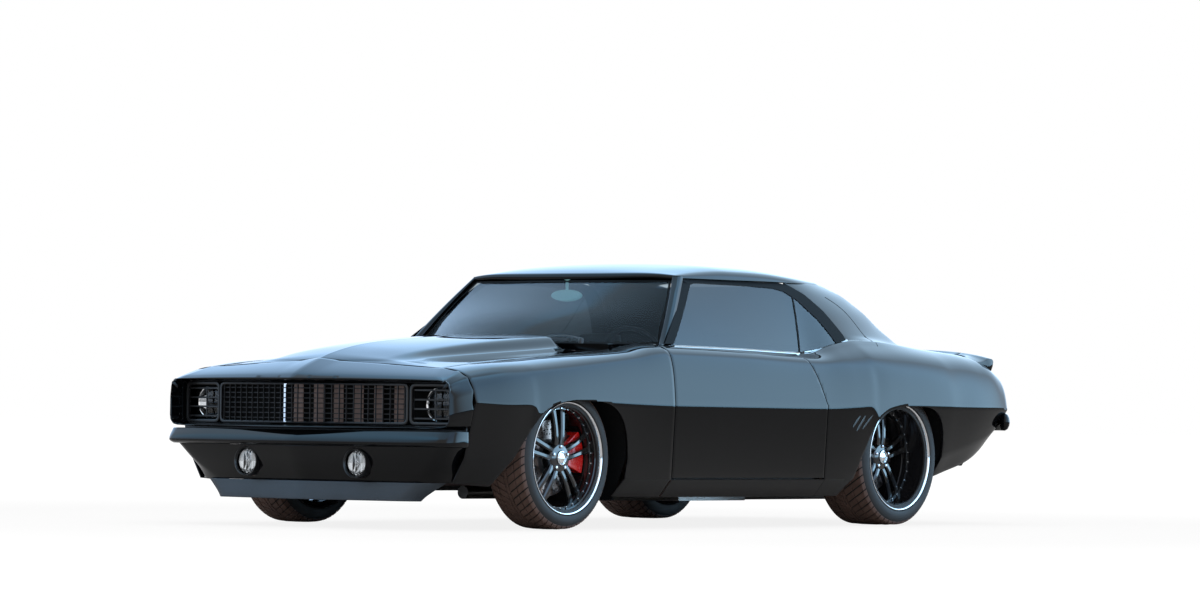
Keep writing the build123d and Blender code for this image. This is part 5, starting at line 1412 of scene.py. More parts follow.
def tail():
    """Tail panel with its recessed lamps."""
    panel = [(-808, 560), (808, 560), (828, 700), (760, 800), (660, 822), (0, 838), (-660, 822), (-760, 800),
             (-828, 700)]
    made = outline_prism("tail_skin", rounded(panel, [20, 20, 30, 40, 60, 400, 60, 40, 30], 6), 2300.4, 2314, "Y")
    made.data.materials[0] = MATERIALS["paint"]
    openings, lamp_x, lamp_z = [], 560, 700
    for side in (-1, 1):
        openings.append(outline_prism("opening", box_line(side * lamp_x, lamp_z, 460, 92, 18), 2290, 2330, "Y"))
    cut(made, *openings)
    soften(made, 2, 50)
    add_piece(shade(made), "body", "body_paint", "tail_panel")
    shell, lens, chrome = Form(), Form(), Form()
    for side in (-1, 1):
        for part in (-1, 0, 1):
            lens.block((side * lamp_x + part * 149, 2312, lamp_z), (140, 14, 78), round_by=6)
        shell.block((side * lamp_x, 2296, lamp_z), (456, 18, 88), round_by=5)
        outer, inner = (box_line(side * lamp_x, lamp_z, *size) for size in ((458, 90, 17), (446, 78, 13)))
        chrome.join(ring_frame(outer, inner, lambda x: 2306, 14))
    hand_over(lens, "tail_lenses", "red_lens", "lamp_red", "tail_lamps", outward=False)
    hand_over(shell, "tail_lamp_shells", "trim", "trim", outward=False)
    hand_over(chrome, "tail_lamp_frames", "satin", "satin_black")


def sail_seams():
    """The sealed seam between roof and quarter on each sail panel."""
    line = through([(1020, 1150), (1110, 1110), (1168, 1070), (1235, 1000), (1262, 950), (1262, 924), (1235, 906)],
                   [4, 4, 5, 4, 3, 3])
    stations = []
    for k, (y, z) in enumerate(line):
        a, b = line[max(0, k - 1)], line[min(len(line) - 1, k + 1)]
        along = unit(b - a)
        across = np.array((-along[1], along[0])) * 1.6
        section = quarter_lines(y)
        x = read_off(section[np.argmax(section[:, 0]):], z)
        stations.append([(x - 4, y - across[0], z - across[1]), (x + 0.8, y - across[0], z - across[1]),
                         (x + 0.8, y + across[0], z + across[1]), (x - 4, y + across[0], z + across[1])])
    both_sides(sweep_bar(stations), "sail_seam_{side}", ["seal"], "body", "trim")


# ---------------- side slots
def side_x(y, z):
    """Outside of the body side at a height between sill and shoulder."""
    return read_off(side_lines(y), z)


def gills():
    """Three slanted slots ahead of each rear wheel."""
    form = Form()
    for high_y, high_z, low_y, low_z in ((884, 553, 826, 494), (930, 554, 862, 476), (992, 557, 913, 486)):
        stations = []
        for t in np.linspace(0, 1, 7):
            y, z = high_y + (low_y - high_y) * t, high_z + (low_z - high_z) * t
            w = 9 * math.sqrt(max(0.05, 1 - (2 * t - 1) ** 4))
            x = side_x(y, z)
            stations.append([(x - 6, y - w, z), (x + 0.6, y - w, z), (x + 1.2, y, z), (x + 0.6, y + w, z),
                             (x - 6, y + w, z)])
        form.join(sweep_bar(stations))
    both_sides(form, "side_slots_{side}", ["trim"], "body", "trim")


# ---------------- wheels
SLOTS_OF = {"lip": "wheel_metal", "spoke": "satin_black", "barrel": "satin_black", "chrome": "steel", "disc": "steel",
            "steel": "steel", "tyre": "tyre", "tread": "tyre"}


def wheel_side(form, name, finish, end, side, *nodes):
    """Puts a form built about the X axis on its axle, rides it on its wheel and hands it over."""
    axle_y, tyre_r = WHEELS[end][:2]
    label = SIDE_NAMES[side]
    hand_over(form.moved(y=axle_y, z=tyre_r, side=side), f"{name}_{end}_{label}", finish, SLOTS_OF[finish], *nodes,
              body=f"wheel_{end}_{label}")


def on_axle(made, finish, end, side):
    """Moves a piece built about the X axis to its axle, rides it on its wheel and hands it over."""
    axle_y, tyre_r = WHEELS[end][:2]
    made.data.transform(Matrix.Translation((0, axle_y * MM, tyre_r * MM)))
    if side < 0:
        made.data.transform(Matrix.Diagonal((-1, 1, 1, 1)))
        made.data.flip_normals()
    add_piece(shade(made), f"wheel_{end}_{SIDE_NAMES[side]}", SLOTS_OF[finish])


def ring_part(form, name, count, finish, end, side):
    """A ring of repeated forms about an axle."""
    made = form.piece(f"{name}_{end}_{SIDE_NAMES[side]}", finish, outward=True)
    on_axle(repeat_ring(made, count, finish), finish, end, side)


def shifted(x, r, *points):
    """Profile points given from a place (x, radius)."""
    return [(x + dx, r + dr) for dx, dr in points]


def spoke_pair(face):
    """One pair of spokes, upright above the hub."""
    form = Form()
    for lean in (-1, 1):
        stations = []
        for radius, near, far, drop in ((58, 6, 33, 3), (90, 9, 34, 0), (140, 13, 38, 2), (190, 17, 44, 7),
                                        (236, 21, 52, 13)):
            low, high = face - 41, face - 13 - drop
            ring = [(low, near), (high - 6, near), (high, near + 6), (high, far - 6), (high - 6, far), (low, far)]
            stations.append([(x, lean * b, radius) for x, b in ring])
        form.join(sweep_bar(stations))
    return form


def wheels():
    """Wheels: polished lips, twin spokes, hubs, caps, nuts and rim bolts, and drilled discs."""
    for end, (_, _, outer_x, inner_x, lip_r, dish) in WHEELS.items():
        lip_out, lip_in = outer_x - 3, inner_x + 3
        face = lip_out - dish
        disc_x = face - 92
        barrel = shifted(lip_out, lip_r, (0, -3), (-1, -0.5), (-6, 0), (-12, -1), (-13, -4), (-19, -5), (-20, -12),
                         (-12, -11), (-4, -8.5), (-1, -6), (0, -3))
        inside = [
            *shifted(lip_out, 0, (-17, lip_r - 5), (-22, 242)),
            *shifted(lip_in, 0, (13, 242), (12, lip_r - 1), (3, lip_r), (0, lip_r - 4), (3, lip_r - 12), (14, 235)),
            *shifted(face, 0, (-50, 232), (-44, 236), (-16, 236)), (min(face + 4, lip_out - 29), 239),
            *shifted(lip_out, lip_r, (-29, -26), (-17, -13.5), (-17, -5)),
        ]
        hub = shifted(face, 0, (-3, 0.1), (-3, 32), (-9, 36), (-14, 62), (-22, 70), (-40, 74), (-61, 79), (-61, 0.1))
        band = shifted(face, 0, (-44, 238), (-44, 226), (-20, 226), (-14, 229), (-14, 238), (-44, 238))
        cap = shifted(face, 0, (0.5, 0.1), (0.5, 14), (-2, 24), (-4, 27), (-4, 0.1))
        cap_ring = shifted(face, 0, (-2, 27), (-0.5, 29), (-2, 33), (-5, 33), (-5, 27), (-2, 27))
        disc = shifted(disc_x, 0, (13, 88), (13, 176), (12, 178), (3, 178), (3, 170), (-3, 170), (-3, 178),
                       (-12, 178), (-13, 176), (-13, 88), (13, 88))
        bell = [*shifted(face, 0, (-60, 0.1), (-60, 84)),
                *shifted(disc_x, 0, (14, 90), (-12, 90), (-12, 60), (-12, 0.1))]
        nut = shifted(face, 0, (-2, 0.1), (-4, 5), (-6, 8), (-18, 9), (-18, 0.1))
        bolt = shifted(face, 0, (-8.5, 0.1), (-8.5, 3), (-10.5, 4.6), (-15, 4.8), (-15, 0.1))
        for side, label in BOTH:
            wheel_side(Form().lathe(barrel, 96), "rim_lip", "lip", end, side, f"wheel_{end}_{label}")
            wheel_side(Form().lathe(inside, 96), "rim_barrel", "barrel", end, side)
            wheel_side(Form().lathe(hub, 60).join(Form().lathe(band, 72)), "hub", "spoke", end, side)
            wheel_side(Form().lathe(cap, 6).join(Form().lathe(cap_ring, 36)), "hub_cap", "chrome", end, side)
            wheel_side(Form().lathe(bell, 48), "disc_bell", "steel", end, side)
            ring_part(spoke_pair(face), "spokes", SPOKE_PAIRS, "spoke", end, side)
            ring_part(Form().lathe(nut, 6).moved(z=54), "lug_nuts", LUG_NUTS, "chrome", end, side)
            ring_part(Form().lathe(bolt, 6).moved(z=233), "rim_bolts", settings().lip_bolts, "chrome", end, side)
            drilled_disc(Form().lathe(disc, 96), disc_x, end, side)


def drilled_disc(form, disc_x, end, side):
    """A brake disc with rows of drilled holes."""
    made = form.piece(f"brake_disc_{end}_{SIDE_NAMES[side]}", "disc", outward=True)
    drill = Form()
    for radius, turn in ((112, 0.0), (134, 3.3), (156, 6.6)):
        a = math.radians(turn)
        pin = Form().lathe([(disc_x - 20, 0.05), (disc_x - 20, 4.2), (disc_x + 20, 4.2), (disc_x + 20, 0.05)], 8)
        drill.join(pin.moved(y=radius * math.sin(a), z=radius * math.cos(a)))
    cut(made, repeat_ring(drill.piece("drill", "disc", outward=True), 36, "disc"))
    on_axle(made, "disc", end, side)


def tyre_radius(x, outer_x, inner_x, radius):
    """Tread radius at x."""
    half = (outer_x - inner_x) / 2
    d = abs(x - (outer_x + inner_x) / 2)
    steps = [(0, 0), (half - 60, 0.6), (half - 26, 3.4), (half - 13, 15.5)]
    return float(np.interp(d, [at for at, _ in steps], [radius - drop for _, drop in steps]))


def tread_block(corners, base, outer_x, inner_x, radius):
    """A tread block: corners give x and the distance round the tyre."""
    rows = []
    for depth, inset in ((base, 0.0), (1.6, 0.0), (0.3, 1.2)):
        centre = np.mean(corners, axis=0)
        row = []
        for x, s in corners:
            away = np.array((x, s)) - centre
            x2, s2 = centre + away * (1 - inset / max(1.0, np.linalg.norm(away)))
            r = tyre_radius(x2, outer_x, inner_x, radius) - depth
            a = s2 / radius
            row.append((x2, r * math.sin(a), r * math.cos(a)))
        rows.append(row)
    cap = [tuple(range(len(corners)))]
    return Form().grid(rows, around=True).add(rows[-1], cap).add(rows[0], cap, flip=True)


def tyres():
    """Tyres with round shoulders, rim guards and a chevron tread."""
    count = settings().tread_blocks
    for end, (_, r, out, inn, lip_r, _) in WHEELS.items():
        deep, slant = 8.0, 0.62
        profile = [
            (out - 16, 243), *shifted(out, lip_r, (-16, 1), (-9, 2), (-3, 6), (-0.4, 14), (0, 22), (-0.4, 30)),
            *shifted(out, r, (-5, -28), (-12, -19), (-17, -15), (-30, -deep - 3), (-60, -deep)),
            *shifted(inn, r, (60, -deep), (30, -deep - 3), (17, -15), (12, -19), (5, -28)),
            *shifted(inn, lip_r, (0.4, 30), (0, 22), (3, 6), (9, 2), (16, 1)), (inn + 16, 243), (out - 16, 243),
        ]
        half, middle = (out - inn) / 2, (out + inn) / 2
        pitch = math.tau * r / count
        block = Form()
        for hand in (-1, 1):
            for low, high, gap in ((12, half * 0.42, 7), (half * 0.42 + 5, half - 30, 8), (half - 26, half - 13.5, 6)):
                a, b = gap / 2, pitch - gap / 2
                corners = [(middle + hand * low, a + low * slant), (middle + hand * high, a + high * slant),
                           (middle + hand * high, b + high * slant), (middle + hand * low, b + low * slant)]
                block.join(tread_block(corners if hand > 0 else corners[::-1], deep + 2, out, inn, r))
        a, b = 2.0, pitch - 2.0
        rib = [(middle - 7.5, a), (middle, a - 5), (middle + 7.5, a), (middle + 7.5, b), (middle, b - 5),
               (middle - 7.5, b)]
        block.join(tread_block(rib, deep + 2, out, inn, r))
        for side, label in BOTH:
            wheel_side(Form().lathe(profile, 120), "tyre_body", "tyre", end, side, f"tyre_{end}_{label}")
            ring_part(block, "tyre_tread", count, "tread", end, side)


def cad_copy(node, name, *finishes):
    """A merged copy of a solid's mesh, with its nearly flat faces joined and every face on the first finish."""
    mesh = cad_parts[node].data.copy()
    mesh.materials.clear()
    made = bpy.data.objects.new(name, mesh)
    bpy.context.scene.collection.objects.link(made)
    for finish in finishes:
        mesh.materials.append(MATERIALS[finish])
    shape = bmesh.new()
    shape.from_mesh(mesh)
    bmesh.ops.remove_doubles(shape, verts=shape.verts, dist=1e-5)
    bmesh.ops.dissolve_limit(shape, angle_limit=0.002, verts=shape.verts, edges=shape.edges)
    for face in shape.faces:
        face.material_index = 0
    shape.to_mesh(mesh)
    shape.free()
    return made


def running_gear():
    """Knuckles, rear axle and red calipers."""
    for node, body in (("knuckle_left", "knuckle_left"), ("knuckle_right", "knuckle_right"), ("rear_axle", "body")):
        made = soften(cad_copy(node, f"{node}_casting", "cast"), 2.5, 50)
        add_piece(shade(made), body, "cast_metal", node)
    for end, middle in (("front", 8), ("rear", 172)):
        axle_y, tyre_r, outer_x, _, _, dish = WHEELS[end]
        face = outer_x - 3 - dish
        disc_x, out = face - 92, face - 46.5
        root = disc_x - 44.6

        def sector(low_r, high_r, spread, low_x, high_x, steps=14):
            line = []
            for radius, order in ((high_r, 1), (low_r, -1)):
                for t in np.linspace(-1, 1, steps)[::order]:
                    a = math.radians(middle + spread * t)
                    line.append((radius * math.cos(a), radius * math.sin(a)))
            corners = (0, steps - 1, steps, 2 * steps - 1)
            line = rounded(line, [14 if i in corners else 0 for i in range(2 * steps)], 3)
            return sweep_bar([[(x, y, z) for y, z in line] for x in (low_x, high_x)])

        form = sector(107.4, 216.6, 27.2, disc_x + 18.4, out)
        form.join(sector(183.4, 216.6, 27.2, root, out - 0.4))
        form.join(sector(107.4, 216.6, 27.2, root - 0.2, disc_x - 18.4))
        form.join(sector(132, 178, 19, out - 1, out + 1.6))
        for t in (-0.8, 0.8):
            a = math.radians(middle + 27 * t)
            bolt = Form().lathe([(out + 2.4, 0.1), (out + 2.4, 5), (out + 1, 7.5), (out - 2, 7.5), (out - 2, 0.1)], 6)
            form.join(bolt.moved(y=198 * math.cos(a), z=198 * math.sin(a)))
        for side, label in BOTH:
            hand_over(form.moved(y=axle_y, z=tyre_r, side=side), f"caliper_{end}_{label}", "caliper", "body_paint",
                      body=f"knuckle_{label}" if end == "front" else "body", soft=(2.5, 40))


# ---------------- cabin
def cushion(form, centre, size, lean, channels, crown=0.28, along=18, across=16, crease=5.0):
    """A closed crowned pad: sides pull in between the corners, and sewn channels run along its face."""
    width, length, depth = (s / 2 for s in size)
    turn = Matrix.Rotation(lean, 3, "X")
    rows = []
    for i in range(across * 2 + 1):
        v = -1 + i / across
        row = []
        for j in range(along * 2):
            a = math.tau * j / (along * 2)
            cosine, sine = math.cos(a), math.sin(a)
            u = math.copysign(abs(cosine) ** 0.42, cosine)
            w = math.copysign(abs(sine) ** 0.55, sine)
            edge = (1 - abs(v) ** 5) ** 0.28 if abs(v) < 1 else 0.0
            x = width * u * (0.965 + 0.035 * (1 - v * v)) * (0.55 + 0.45 * edge)
            y = length * v * (1 - 0.03 * (1 - u * u))
            z = depth * w * edge * (1 + crown * (1 - u * u) * (1 - v * v))
            if w > 0.4 and channels:
                for k in range(1, channels):
                    place = -0.72 + 1.44 * k / channels
                    z -= crease * math.exp(-((u - place) / 0.035) ** 2) * (1 - v**8)
            row.append(tuple(Vector(centre) + turn @ Vector((x, y, z))))
        rows.append(row)
    form.grid(rows, around=True)
    return form


def padded_piece(form, name, body, fill, *nodes):
    """Leather pads: a subdivided closed form."""
    made = form.piece(name, "leather", merge=0.4, outward=True)
    modifier = made.modifiers.new("smooth", "SUBSURF")
    modifier.levels = modifier.render_levels = 1
    evaluated(made)
    add_piece(shade(made, 60), body, "seat_leather", *nodes)
    return made


def seats():
    """Bucket seats in front and a bench behind, in leather."""
    front = Form()
    shells = Form()
    for side in (-1, 1):
        cushion(front, (side * 402, 52, 366), (452, 474, 116), math.radians(4), 6)
        cushion(front, (side * 402, 398, 646), (440, 500, 104), math.radians(75.5), 6)
        cushion(front, (side * 402, 478, 908), (250, 96, 78), math.radians(80), 0, 0.1, 12, 8)
        for wing in (-1, 1):
            cushion(front, (side * 402 + wing * 196, 386, 620), (72, 420, 128), math.radians(75.5), 0, 0.2, 10, 12)
            cushion(front, (side * 402 + wing * 200, 48, 386), (70, 430, 118), math.radians(4), 0, 0.2, 10, 12)
        shells.block((side * 402, 60, 258), (430, 440, 112), round_by=18)
        lean = Matrix.Rotation(math.radians(-14.5), 3, "X")
        shells.block((side * 402, 436, 640), (380, 30, 470), turn=lean, round_by=12)
        for wing in (-1, 1):
            shells.block((side * 402 + wing * 60, 468, 866), (12, 12, 70), round_by=3)
    padded_piece(front, "front_seat_pads", "body", 0.8, "front_seats")
    hand_over(shells, "front_seat_shells", "satin", "trim", outward=False)
    rear = Form()
    for side in (-1, 1):
        cushion(rear, (side * 262, 812, 372), (508, 336, 118), math.radians(-4), 5)
        cushion(rear, (side * 262, 1040, 660), (508, 430, 108), math.radians(77), 5)
    rear_base = Form().block((0, 812, 262), (1040, 330, 118), round_by=14)
    padded_piece(rear, "rear_seat_pads", "body", 0.8, "rear_seat")
    hand_over(rear_base, "rear_seat_base", "satin", "trim", outward=False)


def on_column(form, down, up):
    """Sets a form that stands round X on the steering column, some way down it; up is 1 or -1 times its Z."""
    lean, x_way = math.radians(24), Vector((1, 0, 0))
    along = Vector((0, -math.cos(lean), -math.sin(lean)))
    across = along.cross(x_way) * up
    start = Vector((370, -225, 800)) + along * down
    form.points = [tuple(start + along * x + x_way * y + across * z) for x, y, z in form.points]
    return form


def dashboard():
    """Dashboard pad and steering column."""
    form = Form()
    profile = rounded([(-785, 641), (-785, 820), (-560, 821), (-470, 799), (-441, 740), (-480, 641)],
                      [4, 10, 40, 30, 26, 20], 5)
    form.join(sweep_bar([[(x, y, z) for y, z in profile] for x in (-679, -400, 0, 400, 679)]))
    column = Form().lathe([(0, 0.1), (0, 25), (60, 26), (300, 26), (300, 0.1)], 28)
    form.join(on_column(column, 60, 1))
    hand_over(form, "dash_pad", "dash", "trim", "dashboard", soft=(3, 40))


def dashboard_fittings():
    """Cluster hood with plain dials, glove box lid and switches."""
    trim, dial, bright = Form(), Form(), Form()
    trim.block((370, -484, 778), (330, 56, 66), round_by=16)
    trim.block((0, -462, 742), (200, 30, 92), round_by=10)
    trim.block((-380, -456, 742), (300, 20, 90), round_by=8)
    for x, r in ((300, 44), (440, 44), (370, 24)):
        face = Form().lathe([(3, 0.1), (3, r - 5), (0, r - 4), (0, 0.1)], 36)
        ring = Form().lathe([(0, r - 4), (6, r - 4), (7, r - 1), (4, r + 1), (0, r + 1), (0, r - 4)], 36)
        for source, target in ((face, dial), (ring, bright)):
            target.join(facing(source, x, -458, 778, 1))
        for k in range(9):
            a = math.radians(-120 + 30 * k)
            dial.block((x + (r - 10) * math.sin(a), -454.5, 778 + (r - 10) * math.cos(a)), (1.6, 1.4, 5), finish=1,
                       turn=Matrix.Rotation(a, 3, "Y"), round_by=0.3)
        dial.block((x, -454, 778 + r * 0.3), (1.6, 1.6, r * 0.6), finish=1, round_by=0.4)
    for k in range(4):
        trim.block((-36 + 24 * k, -446, 770), (14, 6, 14), round_by=5)
    hand_over(trim, "dash_binnacle", "satin", "trim", outward=False)
    add_piece(shade(dial.piece("dash_dials", "trim", "mirror")), "body", "trim")
    hand_over(bright, "dash_dial_rings", "chrome", "steel")


def steering_wheel():
    """Three-spoke steering wheel."""
    rim = [(13 * math.cos(a), 180 + 13 * math.sin(a)) for a in np.linspace(0, math.tau, 17)]
    form = Form().lathe(rim, 72)
    form.join(Form().lathe([(-12, 0.1), (-12, 30), (-6, 40), (2, 40), (58, 24), (58, 0.1)], 32))
    for k in range(3):
        a = math.radians(90 + 120 * k)
        stations = []
        for radius, half, back in ((30, 17, 2), (90, 13, 3), (172, 11, 3)):
            ring = [(back - 7, -half + 3), (back - 3, -half), (back + 3, -half), (back + 3, half), (back - 3, half),
                    (back - 7, half - 3)]
            stations.append([(x, radius * math.cos(a) - b * math.sin(a), radius * math.sin(a) + b * math.cos(a))
                             for x, b in ring])
        form.join(sweep_bar(stations))
    hand_over(on_column(form, 0, -1), "steering_grip", "leather", "seat_leather", "steering_wheel",
              body="steering_wheel")


def inside_mirror():
    """Inside mirror with its stem and glass."""
    shell = Form()
    middle_z = 1123
    line = [(94 * math.cos(a), middle_z + 29.5 * math.sin(a)) for a in np.linspace(0, math.tau, 40, endpoint=False)]
    shell.join(sweep_bar([[(x * s, y, (z - middle_z) * s + middle_z) for x, z in line]
                          for s, y in ((0.8, -330), (0.96, -324), (1, -310), (0.98, -306))]))
    shell.block((0, -312, 1178), (15, 11, 74), round_by=3)
    shell.block((0, -312, 1209), (40, 12, 12), round_by=4)
    # The shell's finish glows with painted light.
    hand_over(shell, "inside_mirror_shell", "mirror_back_painted_glow", "trim", "mirror_inside")
    glass = sweep_bar([[(x * 0.93, y, (z - middle_z) * 0.86 + middle_z) for x, z in line] for y in (-307, -305.2)])
    hand_over(glass, "inside_mirror_glass", "mirror", "mirror_glass")


def solids():
    """Finishes of the solids that stay as they are."""
    finishes = {
        "cowl": "paint", "quarter_glass": "glass", "floor_pan": "under", "firewall": "under", "rear_tubs": "under",
        "front_subframe": "under", "engine": "cast", "radiator": "trim", "exhaust": "steel", "tail_lamps": "red_lens",
    }
    for node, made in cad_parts.items():
        finish = finishes.get(node, "trim")
        for slot in made.material_slots:
            slot.material = MATERIALS[finish]
        if not made.material_slots:
            made.data.materials.append(MATERIALS[finish])


# ---------------- stage
def softbox(name, place, aim, size, radiance, colour=(1, 1, 1), card=False):
    """A rectangular lamp of a given brightness, unseen by the camera; a card shows in reflections alone."""
    data = bpy.data.lights.new(name, "AREA")
    data.shape = "RECTANGLE"
    data.size, data.size_y = size
    data.energy = radiance * math.pi * size[0] * size[1]
    data.color = colour
    lamp = bpy.data.objects.new(name, data)
    bpy.context.scene.collection.objects.link(lamp)
    lamp.location = place
    lamp.rotation_euler = (Vector(aim) - Vector(place)).to_track_quat("-Z", "Y").to_euler()
    lamp.visible_camera = False
    lamp.visible_glossy = card
    lamp.visible_diffuse = not card
    lamp.visible_transmission = False
    return lamp


def sky_card(name, place, size, colours, fade=0.3):
    """A reflection card that faces the coupe: its colour runs through stops upwards, and its edges fade."""
    lamp = softbox(name, place, (0, 0, place[2] * 0.92), size, 1.0, card=True)
    t = Tree(name, lamp.data)
    across = t.node("ShaderNodeSeparateXYZ", {}, t.node("ShaderNodeNewGeometry", out="Parametric"))
    up = across.beside(1)
    most = max(max(colour) for _, colour in colours)
    ramp = [(at, [c / most for c in colour]) for at, colour in colours]
    colour = t.node("ShaderNodeValToRGB", {"stops": ramp}, up)
    for value, low, high in ((across, 0.0, fade), (across, 1.0, 1.0 - fade), (up, 1.0, 0.8)):
        step = t.node("ShaderNodeMapRange", {"interpolation_type": "SMOOTHSTEP"}, value, low, high)
        colour = t.node("ShaderNodeVectorMath", {"operation": "SCALE"}, colour, Scale=step)
    t.end("ShaderNodeOutputLight", t.node("ShaderNodeEmission", {}, Color=colour, Strength=most))
    return lamp


def floor_material():
    """Pale studio floor that runs into the white background and keeps the coupe's shadow."""
    t = Tree("studio_floor")
    grain = t.noise(3.0, 4.0)
    colour = settings().floor
    matt = t.node("ShaderNodeBsdfDiffuse", {}, Color=t.mix(grain, tuple(c * 0.985 for c in colour), tuple(colour)))
    glow = t.node("ShaderNodeEmission", {}, Color=(1, 1, 1, 1), Strength=1.1)
    seen = t.node("ShaderNodeLightPath")
    away = t.node("ShaderNodeVectorMath", {"operation": "LENGTH"}, t.place(), out=1)
    share = ((away - 3.5) / 6.0).clamp() * 0.22 + 0.78
    return t.end("ShaderNodeOutputMaterial", t.node("ShaderNodeMixShader", {}, seen * share, matt, glow))


def world_light():
    """White all round for the camera and reflections, and a soft fill elsewhere."""
    world = bpy.data.worlds.new("studio")
    bpy.context.scene.world = world
    t = Tree("studio", world)
    camera = t.node("ShaderNodeLightPath", out="Is Camera Ray")
    white = t.node("ShaderNodeBackground", {}, (1, 1, 1, 1), 1.0)
    fill = t.node("ShaderNodeBackground", {}, (1, 1, 1, 1), 0.35)
    seen = t.node("ShaderNodeMath", {"operation": "MAXIMUM"}, camera, camera.beside("Is Glossy Ray"))
    seen = t.node("ShaderNodeMath", {"operation": "MAXIMUM"}, seen, camera.beside("Is Transmission Ray"))
    t.end("ShaderNodeOutputWorld", t.node("ShaderNodeMixShader", {}, seen, fill, white))


def stage_camera():
    """A long lens, low at the coupe's front corner."""
    azimuth, elevation, roll = (math.radians(a) for a in (37.479, -0.055, 0.782))
    shift_x, shift_y, distance, aim = 0.00029, 0.021577, 26.004, Vector((0, -0.02, 0.55))
    focal_length, image_width, sensor = 5224.64, 1200, 36.0
    level = math.cos(elevation)
    back = Vector((math.sin(azimuth) * level, -math.cos(azimuth) * level, math.sin(elevation)))
    right = Vector((math.cos(azimuth), math.sin(azimuth), 0))
    up = back.cross(right)
    right, up = right * math.cos(roll) + up * math.sin(roll), up * math.cos(roll) - right * math.sin(roll)
    ahead = (-back - right * shift_x + up * shift_y).normalized()
    side = ahead.cross(up).normalized()
    data = bpy.data.cameras.new("coupe_camera")
    data.sensor_width, data.lens, data.clip_end = sensor, focal_length / image_width * sensor, 500
    camera = bpy.data.objects.new("coupe_camera", data)
    bpy.context.scene.collection.objects.link(camera)
    turn = Matrix((side, side.cross(ahead), -ahead)).transposed().to_4x4()
    camera.matrix_world = Matrix.Translation(aim + back * distance) @ turn
    bpy.context.scene.camera = camera
    bpy.context.scene.view_settings.view_transform = "Standard"


def stage():
    """Floor, lamps, world and camera."""
    marks = (-200000, -10000, 0, 10000, 200000)
    floor = Form().grid([[(x, y, -0.4) for x in marks] for y in marks])
    MATERIALS["floor"] = floor_material()
    floor.piece("studio_floor", "floor")
    softbox("overhead_softbox", (0, 0, 6.0), (0, 0, 0.5), (6.0, 8.0), 1.1)
    softbox("left_softbox", (7.0, -3.0, 3.0), (0, 0, 0.6), (7.0, 4.0), 0.9)
    softbox("nose_softbox", (-2.5, -8.0, 3.0), (0, -1.2, 0.5), (6.0, 4.0), 0.7)
    for name, place, size, colours in (
            ("left", (17.0, 17.5, 20.0), (38.0, 40.0),
             [(0, (1.9, 3.7, 5.3)), (0.45, (0.7, 2.0, 3.5)), (1, (0.6, 1.7, 2.8))]),
            ("nose", (24.0, -8.0, 20.0), (32.0, 40.0),
             [(0, (0.6, 1.5, 2.4)), (0.5, (0.3, 0.9, 1.8)), (1, (0.3, 0.9, 1.6))]),
            ("back", (-5.0, 24.0, 20.0), (32.0, 40.0),
             [(0, (0.3, 0.7, 1.2)), (0.3, (0.3, 0.9, 1.5)), (1, (0.3, 0.9, 1.5))]),
            ("right", (-21.0, 11.0, 20.0), (38.0, 40.0),
             [(0, (0.0, 0.1, 0.25)), (0.25, (0.1, 0.7, 1.5)), (1, (0.0, 0.7, 1.5))]),
            ("far", (-18.0, -16.0, 20.0), (44.0, 40.0),
             [(0, (0.0, 0.2, 0.5)), (0.3, (0.0, 0.7, 1.4)), (1, (0.0, 0.7, 1.4))]),
            ("above", (0.0, 0.0, 34.0), (60.0, 60.0), [(0, (0.2, 0.9, 1.6)), (1, (0.2, 0.9, 1.6))])):
        card = sky_card(f"sky_{name}", place, size, colours)
    card.rotation_euler = (0, 0, 0)
    world_light()
    stage_camera()


# ---------------- operators and panel
class BuildMaterials(bpy.types.Operator):
    """Makes the finishes and gives them to the solids that stay."""

    bl_idname = "coupe.materials"
    bl_label = "Materials"

    def execute(self, context):
        MATERIALS.update(build_materials())
        solids()
        return {"FINISHED"}


class BuildFenders(bpy.types.Operator):
    """Builds the front fenders."""

    bl_idname = "coupe.fenders"
    bl_label = "Front fenders"

    def execute(self, context):
        fenders()
        return {"FINISHED"}


class BuildQuarters(bpy.types.Operator):
    """Builds the rear quarters and their slots."""

    bl_idname = "coupe.quarters"
    bl_label = "Rear quarters"

    def execute(self, context):
        quarters()
        gills()
        sail_seams()
        return {"FINISHED"}


class BuildDoors(bpy.types.Operator):
    """Builds the doors."""

    bl_idname = "coupe.doors"
    bl_label = "Doors"

    def execute(self, context):
        doors()
        door_fittings()
        return {"FINISHED"}


class BuildSideGlass(bpy.types.Operator):
    """Builds the side glass and its bands."""

    bl_idname = "coupe.side_glass"
    bl_label = "Side glass"

    def execute(self, context):
        side_glass()
        glass_trims()
        return {"FINISHED"}


class BuildRoof(bpy.types.Operator):
    """Builds the roof and its pillars."""

    bl_idname = "coupe.roof"
    bl_label = "Roof"

    def execute(self, context):
        roof()
        rockers()
        return {"FINISHED"}


class BuildScreens(bpy.types.Operator):
    """Builds the windshield and the rear window."""

    bl_idname = "coupe.screens"
    bl_label = "Windshield and rear window"

    def execute(self, context):
        glass_frames()
        return {"FINISHED"}


class BuildHood(bpy.types.Operator):
    """Builds the hood."""

    bl_idname = "coupe.hood"
    bl_label = "Hood"

    def execute(self, context):
        hood()
        return {"FINISHED"}


class BuildCowl(bpy.types.Operator):
    """Builds the cowl's slots and the wipers."""

    bl_idname = "coupe.cowl"
    bl_label = "Cowl and wipers"

    def execute(self, context):
        cowl()
        return {"FINISHED"}


class BuildDeck(bpy.types.Operator):
    """Builds the deck lid, its filler and the tail spoiler."""

    bl_idname = "coupe.deck"
    bl_label = "Deck lid and spoiler"

    def execute(self, context):
        deck()
        return {"FINISHED"}


class BuildNose(bpy.types.Operator):
    """Builds the header round the grille's mouth."""

    bl_idname = "coupe.nose"
    bl_label = "Nose header"

    def execute(self, context):
        header()
        return {"FINISHED"}


class BuildGrille(bpy.types.Operator):
    """Builds the grille."""

    bl_idname = "coupe.grille"
    bl_label = "Grille"

    def execute(self, context):
        grille()
        return {"FINISHED"}


